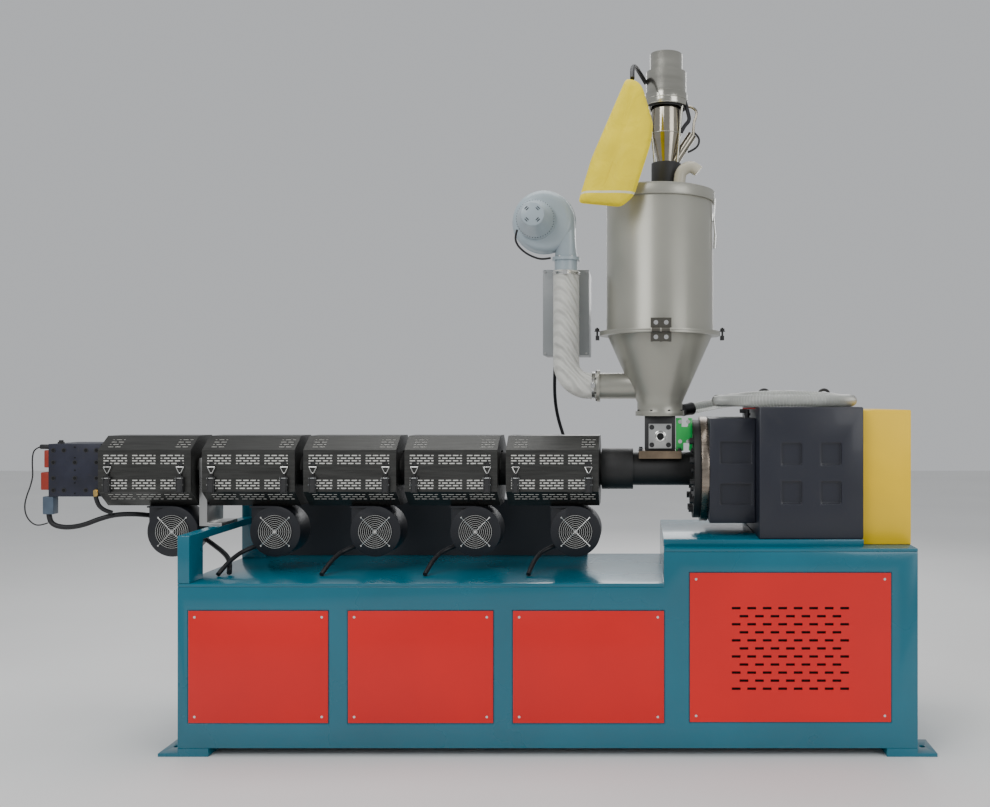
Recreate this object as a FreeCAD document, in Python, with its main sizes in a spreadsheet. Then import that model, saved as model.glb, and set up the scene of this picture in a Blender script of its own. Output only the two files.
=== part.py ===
import FreeCAD, Part
import math
import os
import re
import Sketcher
from FreeCAD import Placement, Rotation, Vector

# Single-screw plastic extruder with a hopper dryer and a vacuum loader, in millimetres.
# +Z is up. The origin is on the floor, at the centre of the four foot bolts. The die head
# points to -X, the gearbox stands at +X and the operator's side is -Y.

SIZES = {
    # running fits and seats
    "seat": 0.3,
    "running_gap": 8,
    # welded base: two side frames, end walls and a stepped deck
    "base_length": 2630,
    "base_width": 700,
    "base_bottom": 30,
    "low_deck_top": 615,
    "high_deck_top": 740,
    "step_place": 413,
    "deck_plate": 12,
    "frame_depth": 40,
    "end_plate": 12,
    "ledge": 12,
    "panel_sheet": 3,
    "panel_gap": 3,
    "panel_bottom": 120,
    "panel_top": 518,
    "panel_one_start": -1276,
    "panel_one_end": -780,
    "panel_two_start": -709,
    "panel_two_end": -194,
    "panel_three_start": -123,
    "panel_three_end": 413,
    "vent_start": 505,
    "vent_end": 1219,
    "vent_bottom": 124,
    "vent_top": 653,
    "slot_length": 31,
    "slot_height": 9,
    "slot_pitch": 55,
    "slot_row_pitch": 28.6,
    "slot_middle": 385,
    # feet
    "foot_reach": 70,
    "foot_inside": 110,
    "foot_depth": 150,
    "foot_plate": 12,
    "foot_bolt_place": 35,
    "foot_bolt_depth": 275,
    "foot_bolt_radius": 11,
    # portal that carries the barrel's far end
    "post_width": 43,
    "post_depth": 112,
    "beam_bottom": 758,
    "beam_top": 785,
    "tall_post_top": 860,
    "tall_post_width": 100,
    "bearer_width": 30,
    "bearer_depth": 150,
    "bearer_top": 1045,
    "bearer_place": -1358,
    # trunking for the zone wiring, behind the barrel fans
    "trunk_start": -1250,
    "trunk_end": 107,
    "trunk_depth": 50,
    "trunk_top": 850,
    # barrel line
    "axis_height": 1000,
    "barrel_radius": 64.5,
    "barrel_start": -1720,
    "collar_start": 180,
    "collar_end": 301,
    "collar_radius": 79.5,
    "flange_start": 531,
    "flange_end": 558,
    "flange_radius": 190,
    "ring_radius": 202.5,
    "ring_end": 585,
    # barrel covers
    "cover_length": 350,
    "cover_pitch": 382,
    "cover_last_start": -178,
    "cover_first_extra": 10,
    "cover_half_width": 130,
    "cover_flat_width": 57,
    "cover_shoulder": 79,
    "cover_rise": 130,
    "cover_sag": 138,
    "cover_sheet": 2,
    "hinge_offset": 8,
    "hinge_radius": 6,
    "hinge_length": 60,
    "latch_width": 26,
    "latch_height": 60,
    "latch_depth": 12,
    "latch_inset": 38,
    # barrel fans
    "fan_offset": 85,
    "fan_height": 765,
    "fan_radius": 96,
    "fan_depth": 120,
    "fan_front": -85,
    "fan_outlet_width": 84,
    "fan_outlet_depth": 90,
    "fan_flange": 6,
    # die head
    "head_start": -1920,
    "head_half_width": 100,
    "melt_radius": 20,
    "melt_depth": 60,
    "head_bolt_circle": 130,
    "head_bolt_radius": 7,
    "head_bolt_depth": 30,
    # feed zone and hopper
    "hopper_axis": 405,
    "throat_half_width": 59,
    "throat_top": 1206,
    "throat_bore": 40,
    "feed_flange_half_length": 82,
    "feed_flange_half_width": 80,
    "feed_flange_bottom": 1043,
    "feed_flange_top": 1072,
    "port_plate": 12,
    "port_half_width": 44,
    "port_bottom": 1082,
    "port_top": 1176,
    "port_tube_radius": 17,
    "port_tube_length": 50,
    "guard_sheet": 12,
    "guard_end": 529,
    "guard_top": 1198,
    "hopper_wall": 3,
    "neck_flange_radius": 95,
    "neck_flange_top": 1225,
    "neck_radius": 88,
    "neck_top": 1258,
    "cone_top": 1524,
    "drum_radius": 207.5,
    "drum_flange_radius": 234,
    "drum_flange": 8,
    "drum_top": 2043,
    "lid_radius": 214,
    "lid_rim_top": 2071,
    "lid_top": 2077,
    "lid_rim_drop": 12,
    "pin_radius": 8,
    "pin_offset": 12,
    "leaf_width": 76,
    "inlet_height": 1322,
    "inlet_radius": 50.5,
    "inlet_start": 160,
    "inlet_flange_radius": 62,
    "inlet_flange": 12,
    # vacuum loader
    "loader_axis": 430,
    "loader_base_radius": 58,
    "loader_base_top": 2187,
    "spout_radius": 35,
    "vessel_radius": 58.5,
    "vessel_cone_top": 2300,
    "vessel_top": 2407,
    "loader_ring_radius": 82,
    "loader_ring_top": 2458,
    "shoulder_radius": 78,
    "shoulder_top": 2541,
    "motor_radius": 63,
    "loader_top": 2612,
    # hot air line
    "duct_axis": 40,
    "elbow_radius": 90,
    "duct_top": 1770,
    "dryer_neck_radius": 45,
    "dryer_flange_bottom": 1810,
    "dryer_flange_half_width": 54,
    "dryer_flange": 12,
    "dryer_height": 1958,
    "dryer_axis": -45,
    "dryer_radius": 121.5,
    "dryer_front": -60,
    "dryer_depth": 110,
    "dryer_outlet_half_width": 36.5,
    "dryer_motor_axis": -72,
    "dryer_motor_radius": 75,
    "dryer_motor_length": 90,
    "dryer_cap_radius": 46,
    "dryer_cap_length": 40,
    "box_start": -56,
    "box_end": 126,
    "box_bottom": 1443,
    "box_top": 1782,
    "box_depth": 190,
    # gearbox
    "gearbox_pad": 25,
    "gearbox_start": 757,
    "gearbox_end": 1134,
    "gearbox_half_depth": 300,
    "gearbox_top": 1242,
    "nose_bottom": 811,
    "nose_top": 1200,
    "nose_half_depth": 200,
    "pocket_depth": 14,
    "drive_guard_end": 1315,
    "drive_guard_top": 1231,
    "drive_guard_half_depth": 260,
}

doc = FreeCAD.newDocument("plastic_extruder")
sheet = doc.addObject("Spreadsheet::Sheet", "sizes")
for row, (word, number) in enumerate(SIZES.items(), start=1):
    sheet.set(f"A{row}", word)
    sheet.set(f"B{row}", str(number))
    sheet.setAlias(f"B{row}", word)
doc.recompute()


def ref(text):
    """The text of a sum of sizes, with each size's name pointing to the sheet."""
    return re.sub(
        r"[a-z][a-z_]*", lambda m: "sizes." + m[0] if m[0] in SIZES else m[0], str(text)
    )


def size(text):
    """The value of a sum of sizes now."""
    return float(sheet.evalExpression(ref(text)))


def bind(piece, **sums):
    for name, text in sums.items():
        piece.setExpression(name, ref(text))


def place(piece, x=0, y=0, z=0):
    for letter, text in zip("xyz", (x, y, z)):
        piece.setExpression("Placement.Base." + letter, ref(text))
    return piece


TURNS = {
    "x": Rotation(Vector(0, 1, 0), 90),
    "y": Rotation(Vector(1, 0, 0), -90),
    "z": Rotation(),
}


def box(name, x_span, y_span, z_span):
    """A box between pairs of sums, such as ("0", "base_length")."""
    piece = doc.addObject("Part::Box", name)
    for side, (low, high) in zip(("Length", "Width", "Height"), (x_span, y_span, z_span)):
        bind(piece, **{side: f"({high}) - ({low})"})
    return place(piece, x_span[0], y_span[0], z_span[0])


def rod(name, along, radius, length, x=0, y=0, z=0):
    """A cylinder along +X, +Y or +Z from the point given."""
    piece = doc.addObject("Part::Cylinder", name)
    bind(piece, Radius=radius, Height=length)
    piece.Placement = Placement(Vector(), TURNS[along])
    return place(piece, x, y, z)


def fuse(name, *pieces):
    joined = doc.addObject("Part::MultiFuse", name)
    joined.Shapes = list(pieces)
    joined.Refine = True
    return joined


def group(name, *pieces):
    """Solids that don't touch, in one sub-part."""
    together = doc.addObject("Part::Compound", name)
    together.Links = list(pieces)
    return together


def cut(name, base, *tools):
    rest = doc.addObject("Part::Cut", name)
    rest.Base = base
    rest.Tool = tools[0] if len(tools) == 1 else fuse(name + "_tools", *tools)
    return rest


def outline(body, name, plane_role, corners):
    """A closed sketch with a corner at each pair of sums."""
    sketch = body.newObject("Sketcher::SketchObject", name)
    plane = next(f for f in body.Origin.OriginFeatures if f.Role == plane_role)
    sketch.AttachmentSupport = [(plane, "")]
    sketch.MapMode = "FlatFace"
    points = [Vector(size(u), size(v), 0) for u, v in corners]
    for i, point in enumerate(points):
        sketch.addGeometry(Part.LineSegment(point, points[(i + 1) % len(points)]))
    for i, (point, (u, v)) in enumerate(zip(points, corners)):
        sketch.addConstraint(Sketcher.Constraint("Coincident", i, 2, (i + 1) % len(points), 1))
        for kind, text, now, axis in (("DistanceX", u, point.x, -2), ("DistanceY", v, point.y, -1)):
            if str(text) == "0":
                sketch.addConstraint(Sketcher.Constraint("PointOnObject", i, 1, axis))
                continue
            number = sketch.addConstraint(Sketcher.Constraint(kind, -1, 1, i, 1, now))
            sketch.setExpression(f"Constraints[{number}]", ref(text))
    return sketch


def turned(name, along, profile, x=0, y=0, z=0):
    """A body of revolution about X or Z; the profile is (place along the axis, radius)."""
    body = doc.addObject("PartDesign::Body", name)
    corners = profile if along == "x" else [(radius, height) for height, radius in profile]
    sketch = outline(body, name + "_profile", "XZ_Plane", corners)
    turn = body.newObject("PartDesign::Revolution", name + "_turn")
    turn.Profile = sketch
    turn.ReferenceAxis = (sketch, ["H_Axis" if along == "x" else "V_Axis"])
    turn.Angle = 360
    return place(body, x, y, z)


def prism(name, along, corners, length, x=0, y=0, z=0):
    """An outline pushed along +X (corners are Y, Z) or towards -Y (corners are X, Z)."""
    body = doc.addObject("PartDesign::Body", name)
    role = "YZ_Plane" if along == "x" else "XZ_Plane"
    pad = body.newObject("PartDesign::Pad", name + "_pad")
    pad.Profile = outline(body, name + "_profile", role, corners)
    bind(pad, Length=length)
    return place(body, x, y, z)


PARTS = []


def sub_part(name, piece):
    piece.Label = name
    PARTS.append((name, piece))
    return piece


# ---- welded base -------------------------------------------------------------------------
LEFT, RIGHT = "-base_length / 2", "base_length / 2"
FRONT, BACK = "-base_width / 2", "base_width / 2"
UNDER_LOW, UNDER_HIGH = "low_deck_top - deck_plate", "high_deck_top - deck_plate"
PANELS = [
    (f"panel_{word}", f"panel_{word}_start", f"panel_{word}_end", "panel_bottom", "panel_top")
    for word in ("one", "two", "three")
]
VENT = ("vent", "vent_start", "vent_end", "vent_bottom", "vent_top")


def side_frame(name, side, outer_face, inner_face):
    """One long frame: a stepped wall with a rebate and a window behind each panel."""
    low, high = (outer_face, inner_face) if side < 0 else (inner_face, outer_face)
    wall = fuse(
        name + "_wall",
        box(name + "_long", (LEFT, RIGHT), (low, high), ("base_bottom", UNDER_LOW)),
        box(name + "_raised", ("step_place", RIGHT), (low, high), (UNDER_LOW, UNDER_HIGH)),
    )
    rebate = (
        (outer_face, f"{outer_face} + panel_sheet")
        if side < 0
        else (f"{outer_face} - panel_sheet", outer_face)
    )
    tools = []
    for word, start, end, bottom, top in [*PANELS, VENT]:
        tools.append(
            box(
                f"{name}_{word}_rebate",
                (f"{start} - panel_gap", f"{end} + panel_gap"),
                rebate,
                (f"{bottom} - panel_gap", f"{top} + panel_gap"),
            )
        )
        tools.append(
            box(
                f"{name}_{word}_window",
                (f"{start} + ledge", f"{end} - ledge"),
                (low, high),
                (f"{bottom} + ledge", f"{top} - ledge"),
            )
        )
    return cut(name, wall, *tools)


sub_part("front_side_frame", side_frame("front_side_frame", -1, FRONT, f"{FRONT} + frame_depth"))
sub_part("rear_side_frame", side_frame("rear_side_frame", 1, BACK, f"{BACK} - frame_depth"))

INSIDE = (f"{FRONT} + frame_depth", f"{BACK} - frame_depth")
sub_part(
    "end_walls",
    group(
        "end_walls",
        box("left_wall", (LEFT, f"{LEFT} + end_plate"), INSIDE, ("base_bottom", UNDER_LOW)),
        box("right_wall", (f"{RIGHT} - end_plate", RIGHT), INSIDE, ("base_bottom", UNDER_HIGH)),
    ),
)
sub_part(
    "deck",
    fuse(
        "deck",
        box("low_plate", (LEFT, "step_place"), (FRONT, BACK), (UNDER_LOW, "low_deck_top")),
        box("riser", ("step_place", "step_place + deck_plate"), INSIDE, (UNDER_LOW, UNDER_HIGH)),
        box("high_plate", ("step_place", RIGHT), (FRONT, BACK), (UNDER_HIGH, "high_deck_top")),
    ),
)


def panel(name, start, end, bottom, top, outer_face, side):
    y_span = (
        (outer_face, f"{outer_face} + panel_sheet")
        if side < 0
        else (f"{outer_face} - panel_sheet", outer_face)
    )
    return box(name, (start, end), y_span, (bottom, top))


sub_part(
    "front_panels", group("front_panels", *(panel(f"front_{p[0]}", *p[1:], FRONT, -1) for p in PANELS))
)
sub_part(
    "rear_panels",
    group("rear_panels", *(panel(f"rear_{p[0]}", *p[1:], BACK, 1) for p in [*PANELS, VENT])),
)

VENT_MIDDLE = "(vent_start + vent_end) / 2"
SLOT_ROWS = 11
slots = []
for line in range(SLOT_ROWS):
    count = 8 if line % 2 == 0 else 7
    level = f"slot_middle + slot_row_pitch * {line - (SLOT_ROWS - 1) / 2}"
    for i in range(count):
        middle = f"{VENT_MIDDLE} + slot_pitch * {i - (count - 1) / 2}"
        slots.append(
            box(
                f"slot_{line}_{i}",
                (f"{middle} - slot_length / 2", f"{middle} + slot_length / 2"),
                (FRONT, f"{FRONT} + panel_sheet"),
                (f"{level} - slot_height / 2", f"{level} + slot_height / 2"),
            )
        )
sub_part(
    "vent_panel",
    cut(
        "vent_panel",
        panel("vent_sheet", *VENT[1:], FRONT, -1),
        group("vent_slots", *slots),
    ),
)


def foot(name, end, side):
    """A foot plate with its tab and bolt hole, and the leg block on it."""
    outer, tab, inner = (f"{end} * base_length / 2", f"{end} * foot_reach", f"{end} * foot_inside")
    x_plate = sorted((f"{outer} + {tab}", f"{outer} - {inner}"), key=size)
    x_leg = sorted((outer, f"{outer} - {inner}"), key=size)
    y_span = sorted((f"{side} * base_width / 2", f"{side} * (base_width / 2 - foot_depth)"), key=size)
    plate = box(name + "_plate", x_plate, y_span, ("0", "foot_plate"))
    leg = box(name + "_leg", x_leg, y_span, ("foot_plate", "base_bottom"))
    hole = rod(
        name + "_hole",
        "z",
        "foot_bolt_radius",
        "foot_plate",
        f"{outer} + {end} * foot_bolt_place",
        f"{side} * foot_bolt_depth",
    )
    return cut(name, fuse(name + "_solid", plate, leg), hole)


sub_part(
    "foot_plates",
    group("foot_plates", *(foot(f"foot_{i}", e, s) for i, (e, s) in enumerate(
        [(-1, -1), (-1, 1), (1, -1), (1, 1)]
    ))),
)

# ---- portal and trunking -----------------------------------------------------------------
POSTS = (LEFT, f"{LEFT} + post_width")
sub_part(
    "barrel_portal",
    fuse(
        "barrel_portal",
        box("front_post", POSTS, (FRONT, f"{FRONT} + post_depth"), ("low_deck_top", "beam_bottom")),
        box("rear_post", POSTS, (f"{BACK} - post_depth", BACK), ("low_deck_top", "beam_bottom")),
        box("beam", POSTS, (FRONT, BACK), ("beam_bottom", "beam_top")),
        box(
            "tall_post",
            (LEFT, f"{LEFT} + tall_post_width"),
            (f"{BACK} - post_depth - end_plate", f"{BACK} - post_depth"),
            ("low_deck_top", "tall_post_top"),
        ),
    ),
)
BEARER = ("bearer_place", "bearer_place + bearer_width")
sub_part(
    "barrel_bearer",
    cut(
        "barrel_bearer",
        fuse(
            "bearer_solid",
            box("bearer_plate", BEARER, ("-bearer_depth / 2", "bearer_depth / 2"),
                ("beam_top", "bearer_top")),
            box("bearer_foot", ("bearer_place", f"{LEFT} + post_width"),
                ("-bearer_depth / 2", "bearer_depth / 2"), ("beam_top", "beam_top + deck_plate")),
        ),
        rod("bearer_bore", "x", "barrel_radius + seat", "bearer_width", "bearer_place", 0,
            "axis_height"),
    ),
)
sub_part(
    "wiring_trunk",
    box("wiring_trunk", ("trunk_start", "trunk_end"), (f"{BACK} - trunk_depth", BACK),
        ("low_deck_top", "trunk_top")),
)

# ---- barrel line -------------------------------------------------------------------------
sub_part(
    "barrel",
    turned(
        "barrel",
        "x",
        [
            ("barrel_start", "0"),
            ("barrel_start", "barrel_radius"),
            ("collar_start", "barrel_radius"),
            ("collar_start", "collar_radius"),
            ("collar_end", "collar_radius"),
            ("collar_end", "barrel_radius"),
            ("flange_start", "barrel_radius"),
            ("flange_start", "0"),
        ],
        z="axis_height",
    ),
)
sub_part(
    "barrel_flange",
    rod("barrel_flange", "x", "flange_radius", "flange_end - flange_start", "flange_start", 0,
        "axis_height"),
)
sub_part(
    "flange_ring",
    rod("flange_ring", "x", "ring_radius", "ring_end - flange_end", "flange_end", 0, "axis_height"),
)

COVERS = 5


def cover_start(i):
    """Where cover i begins, from 0 at the die head to 4 at the hopper."""
    extra = " - cover_first_extra" if i == 0 else ""
    return f"cover_last_start - cover_pitch * {COVERS - 1 - i}{extra}"


def cover_profile(side, inset):
    """Half of the eight-sided section above (+1) or below (-1) the seam, drawn in by inset."""
    reach = "cover_rise" if side > 0 else "cover_sag"
    half, flat = f"cover_half_width - {inset}", f"cover_flat_width - {inset} / 3"
    seam = f"{side} * seat" if side > 0 else "0"
    shoulder, far = f"{side} * (cover_shoulder - {inset} / 3)", f"{side} * ({reach} - {inset})"
    return [
        (f"-({half})", seam),
        (f"-({half})", shoulder),
        (f"-({flat})", far),
        (flat, far),
        (half, shoulder),
        (half, seam),
    ]


def cover_half(name, i, side):
    """A folded sheet half cover: shell, end walls and the notch that clears the barrel."""
    start = cover_start(i)
    skin = prism(name + "_skin", "x", cover_profile(side, "0"), "cover_length", start, 0,
                 "axis_height")
    room = prism(name + "_room", "x", cover_profile(side, "cover_sheet"),
                 "cover_length - 2 * cover_sheet", f"{start} + cover_sheet", 0, "axis_height")
    notch_radius = "barrel_radius + running_gap" if side > 0 else "barrel_radius + seat"
    notch = rod(name + "_notch", "x", notch_radius, "cover_length", start, 0, "axis_height")
    mouth = box(
        name + "_mouth",
        (f"{start} + cover_sheet", f"{start} + cover_length - cover_sheet"),
        ("-cover_half_width + cover_sheet", "cover_half_width - cover_sheet"),
        ("axis_height - 1", "axis_height + 1"),
    )
    return cut(name, skin, room, notch, mouth)


def hinge_rods(i):
    """Two hinge barrels on the back of a lower half; the upper half turns about them."""
    rods = []
    for j, share in enumerate((0.2, 0.8)):
        middle = f"{cover_start(i)} + cover_length * {share}"
        start = f"{middle} - hinge_length / 2"
        rods.append(
            rod(f"hinge_{i}_{j}", "x", "hinge_radius", "hinge_length", start,
                "cover_half_width + hinge_offset", "axis_height")
        )
        rods.append(
            box(f"hinge_leaf_{i}_{j}", (start, f"{start} + hinge_length"),
                ("cover_half_width", "cover_half_width + hinge_offset"),
                ("axis_height - 24", "axis_height - hinge_radius / 2"))
        )
    return rods


sub_part(
    "lower_covers",
    group(
        "lower_covers",
        *(fuse(f"lower_cover_{i + 1}", cover_half(f"lower_half_{i}", i, -1), *hinge_rods(i))
          for i in range(COVERS)),
    ),
)
for i in range(COVERS):
    sub_part(f"upper_cover_{i + 1}", cover_half(f"upper_cover_{i + 1}", i, 1))

sub_part(
    "cover_latches",
    group(
        "cover_latches",
        *(
            box(
                f"latch_{i}_{j}",
                (f"{cover_start(i)} + {place_along} - latch_width / 2",
                 f"{cover_start(i)} + {place_along} + latch_width / 2"),
                ("-cover_half_width - latch_depth", "-cover_half_width"),
                ("axis_height - 22 - latch_height", "axis_height - 22"),
            )
            for i in range(COVERS)
            for j, place_along in enumerate(("latch_inset", "(cover_length - latch_inset)"))
        ),
    ),
)


def fan(i):
    """A scroll fan whose outlet rises from its left side to the cover's floor."""
    middle = f"{cover_start(i)} + cover_length / 2 + fan_offset"
    floor = "axis_height - cover_sag"
    front, left = "fan_front", f"{middle} - fan_radius"
    centre_y = "fan_front + fan_depth / 2"
    scroll = rod(f"scroll_{i}", "y", "fan_radius", "fan_depth", middle, front, "fan_height")
    outlet = box(f"outlet_{i}", (left, f"{left} + fan_outlet_width"),
                 (f"{centre_y} - fan_outlet_depth / 2", f"{centre_y} + fan_outlet_depth / 2"),
                 ("fan_height", floor))
    flange = box(f"outlet_flange_{i}", (f"{left} - 2", f"{left} + fan_outlet_width + 12"),
                 (f"{centre_y} - fan_depth / 2", f"{centre_y} + fan_depth / 2"),
                 (f"{floor} - fan_flange", floor))
    return fuse(f"fan_{i + 1}", scroll, outlet, flange)


sub_part("barrel_fans", group("barrel_fans", *(fan(i) for i in range(COVERS))))

# ---- die head ----------------------------------------------------------------------------
HEAD_ENDS = ("head_start", "barrel_start")
HEAD_SIDES = ("-head_half_width", "head_half_width")
head_holes = [rod("melt_outlet", "x", "melt_radius", "melt_depth", "head_start", 0, "axis_height")]
for i in range(4):
    turn = math.radians(45 + 90 * i)
    head_holes.append(
        rod(f"head_hole_{i}", "x", "head_bolt_radius", "head_bolt_depth", "head_start",
            f"head_bolt_circle / 2 * {math.cos(turn):.9f}",
            f"axis_height + head_bolt_circle / 2 * {math.sin(turn):.9f}")
    )
sub_part(
    "head_block",
    cut(
        "head_block",
        box("head_solid", HEAD_ENDS, HEAD_SIDES,
            ("axis_height - head_half_width", "axis_height + head_half_width")),
        *head_holes,
    ),
)
sub_part(
    "head_fittings",
    group(
        "head_fittings",
        box("upper_connector", ("head_start - 18", "head_start"), ("-98", "-58"),
            ("axis_height + 10", "axis_height + 76")),
        box("lower_connector", ("head_start - 31", "head_start"), ("-98", "-58"),
            ("axis_height - 75", "axis_height - 8")),
        rod("sensor", "x", 9, 36, "head_start - 36", -88, "axis_height + 89"),
        box("cable_plug", ("head_start - 24", "head_start + 16"), ("-98", "-62"),
            ("axis_height - head_half_width - 68", "axis_height - head_half_width")),
        rod("side_fitting", "y", 9, 14, "barrel_start - 14", "-head_half_width - 14",
            "axis_height - 88"),
    ),
)

# ---- feed zone ---------------------------------------------------------------------------
CENTRE = "hopper_axis"
THROAT_X = (f"{CENTRE} - throat_half_width", f"{CENTRE} + throat_half_width")
throat_hole = ("throat_bore", "throat_top - axis_height", CENTRE, 0, "axis_height")
sub_part(
    "feed_flange",
    cut(
        "feed_flange",
        box("feed_flange_solid",
            (f"{CENTRE} - feed_flange_half_length", f"{CENTRE} + feed_flange_half_length"),
            ("-feed_flange_half_width", "feed_flange_half_width"),
            ("feed_flange_bottom", "feed_flange_top")),
        rod("feed_flange_seat", "x", "barrel_radius + seat", 400,
            f"{CENTRE} - 200", 0, "axis_height"),
        rod("feed_flange_hole", "z", *throat_hole),
    ),
)
sub_part(
    "feed_throat",
    cut(
        "feed_throat",
        box("throat_solid", THROAT_X, ("-throat_half_width", "throat_half_width"),
            ("feed_flange_top", "throat_top")),
        rod("throat_hole", "z", *throat_hole),
    ),
)
PORT_FACE = "-throat_half_width - port_plate"
sub_part(
    "discharge_port",
    fuse(
        "discharge_port",
        box("port_square", (f"{CENTRE} - port_half_width", f"{CENTRE} + port_half_width"),
            (PORT_FACE, "-throat_half_width"), ("port_bottom", "port_top")),
        rod("port_tube", "y", "port_tube_radius", "port_tube_length", CENTRE,
            f"{PORT_FACE} - port_tube_length", "(port_bottom + port_top) / 2"),
    ),
)
GUARD_Y = ("-throat_half_width + 2", "-throat_half_width + 2 + guard_sheet")
GUARD_START = f"{THROAT_X[1]} + 2"
sub_part(
    "feed_guard",
    cut(
        "feed_guard",
        box("guard_solid", (GUARD_START, "guard_end"), GUARD_Y, ("feed_flange_top", "guard_top")),
        box("guard_notch", (f"{GUARD_START} + 22", "guard_end - 16"), GUARD_Y,
            ("guard_top - 34", "guard_top")),
        box("guard_foot_notch", (f"{CENTRE} + feed_flange_half_length + 8", "guard_end - 12"),
            GUARD_Y, ("feed_flange_top", "feed_flange_top + 30")),
    ),
)

# ---- hopper dryer ------------------------------------------------------------------------
cone_shell = turned(
    "cone_shell",
    "z",
    [
        ("throat_top", "neck_radius - hopper_wall"),
        ("throat_top", "neck_flange_radius"),
        ("neck_flange_top", "neck_flange_radius"),
        ("neck_flange_top", "neck_radius"),
        ("neck_top", "neck_radius"),
        ("cone_top - drum_flange", "drum_radius - 4"),
        ("cone_top - drum_flange", "drum_flange_radius"),
        ("cone_top", "drum_flange_radius"),
        ("cone_top", "drum_radius - hopper_wall"),
        ("neck_top", "neck_radius - hopper_wall"),
    ],
    x=CENTRE,
)
stub = rod("inlet_stub", "x", "inlet_radius", "hopper_axis - inlet_start - 30", "inlet_start", 0,
           "inlet_height")
stub_flange = rod("stub_flange", "x", "inlet_flange_radius", "inlet_flange", "inlet_start", 0,
                  "inlet_height")
cone_room = turned(
    "cone_room",
    "z",
    [
        ("throat_top", "0"),
        ("throat_top", "neck_radius - hopper_wall"),
        ("neck_top", "neck_radius - hopper_wall"),
        ("cone_top", "drum_radius - hopper_wall"),
        ("cone_top", "0"),
    ],
    x=CENTRE,
)
stub_bore = rod("stub_bore", "x", "inlet_radius - hopper_wall", "hopper_axis - inlet_start",
                "inlet_start", 0, "inlet_height")
PIN_Y, PIN_Z = "-drum_flange_radius - pin_offset", "cone_top"
MIDDLE_LEAF_X = (f"{CENTRE} - leaf_width * 0.18", f"{CENTRE} + leaf_width * 0.18")


def knuckle(name, x_span):
    """A hinge knuckle on the pin line in front of the flanges."""
    length = f"({x_span[1]}) - ({x_span[0]})"
    return rod(name, "x", "pin_radius", length, x_span[0], PIN_Y, PIN_Z)


lower_leaf = box("lower_leaf", MIDDLE_LEAF_X, (PIN_Y, "-drum_flange_radius + 4"),
                 ("cone_top - drum_flange", "cone_top"))
sub_part(
    "hopper_cone",
    fuse(
        "hopper_cone",
        cut("cone_with_stub", fuse("cone_solid", cone_shell, stub, stub_flange), cone_room, stub_bore),
        lower_leaf,
        knuckle("lower_knuckle", MIDDLE_LEAF_X),
    ),
)
DRUM_BOTTOM = "cone_top + seat"
drum_shell = turned(
    "drum_shell",
    "z",
    [
        (DRUM_BOTTOM, "drum_radius - hopper_wall"),
        (DRUM_BOTTOM, "drum_flange_radius"),
        (f"{DRUM_BOTTOM} + drum_flange", "drum_flange_radius"),
        (f"{DRUM_BOTTOM} + drum_flange", "drum_radius"),
        ("drum_top", "drum_radius"),
        ("drum_top", "drum_radius - hopper_wall"),
    ],
    x=CENTRE,
)
upper_leaves = []
for i, (low, high) in enumerate(((-0.5, -0.2), (0.2, 0.5))):
    span = (f"{CENTRE} + leaf_width * {low}", f"{CENTRE} + leaf_width * {high}")
    upper_leaves.append(
        box(f"upper_leaf_{i}", span, (PIN_Y, "-drum_flange_radius + 4"),
            ("cone_top + pin_radius / 2", f"{DRUM_BOTTOM} + drum_flange"))
    )
    upper_leaves.append(knuckle(f"upper_knuckle_{i}", span))
sub_part("hopper_drum", fuse("hopper_drum", drum_shell, *upper_leaves))
sub_part(
    "hopper_lid",
    turned(
        "hopper_lid",
        "z",
        [
            ("drum_top", "0"),
            ("drum_top", "drum_radius + seat"),
            ("drum_top - lid_rim_drop", "drum_radius + seat"),
            ("drum_top - lid_rim_drop", "lid_radius"),
            ("lid_rim_top", "lid_radius"),
            ("lid_rim_top", "lid_radius - 12"),
            ("lid_top", "lid_radius - 12"),
            ("lid_top", "0"),
        ],
        x=CENTRE,
    ),
)

# ---- vacuum loader -----------------------------------------------------------------------
sub_part(
    "loader_base",
    rod("loader_base", "z", "loader_base_radius", "loader_base_top - lid_top", "loader_axis", 0,
        "lid_top"),
)
sub_part(
    "loader_vessel",
    turned(
        "loader_vessel",
        "z",
        [
            ("loader_base_top", "0"),
            ("loader_base_top", "spout_radius"),
            ("vessel_cone_top", "vessel_radius"),
            ("vessel_top", "vessel_radius"),
            ("vessel_top", "0"),
        ],
        x="loader_axis",
    ),
)
sub_part(
    "loader_head",
    turned(
        "loader_head",
        "z",
        [
            ("vessel_top", "0"),
            ("vessel_top", "loader_ring_radius"),
            ("loader_ring_top", "loader_ring_radius"),
            ("loader_ring_top", "shoulder_radius"),
            ("shoulder_top", "shoulder_radius"),
            ("shoulder_top", "motor_radius"),
            ("loader_top", "motor_radius"),
            ("loader_top", "0"),
        ],
        x="loader_axis",
    ),
)

# ---- hot air line ------------------------------------------------------------------------
elbow = doc.addObject("Part::Torus", "elbow")
bind(elbow, Radius1="elbow_radius", Radius2="inlet_radius")
elbow.Angle3 = 90
elbow.Placement = Placement(Vector(), Rotation(Vector(1, 0, 0), 90) * Rotation(Vector(0, 0, 1), 180))
place(elbow, "duct_axis + elbow_radius", 0, "inlet_height + elbow_radius")
sub_part(
    "hot_air_duct",
    fuse(
        "hot_air_duct",
        rod("duct_run", "z", "inlet_radius", "duct_top - inlet_height - elbow_radius", "duct_axis", 0,
            "inlet_height + elbow_radius"),
        elbow,
        rod("duct_end", "x", "inlet_radius", "inlet_start - duct_axis - elbow_radius",
            "duct_axis + elbow_radius", 0, "inlet_height"),
    ),
)
OUTLET_X = ("duct_axis - dryer_outlet_half_width", "duct_axis + dryer_outlet_half_width")
FLANGE_TOP = "dryer_flange_bottom + dryer_flange"
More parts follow.
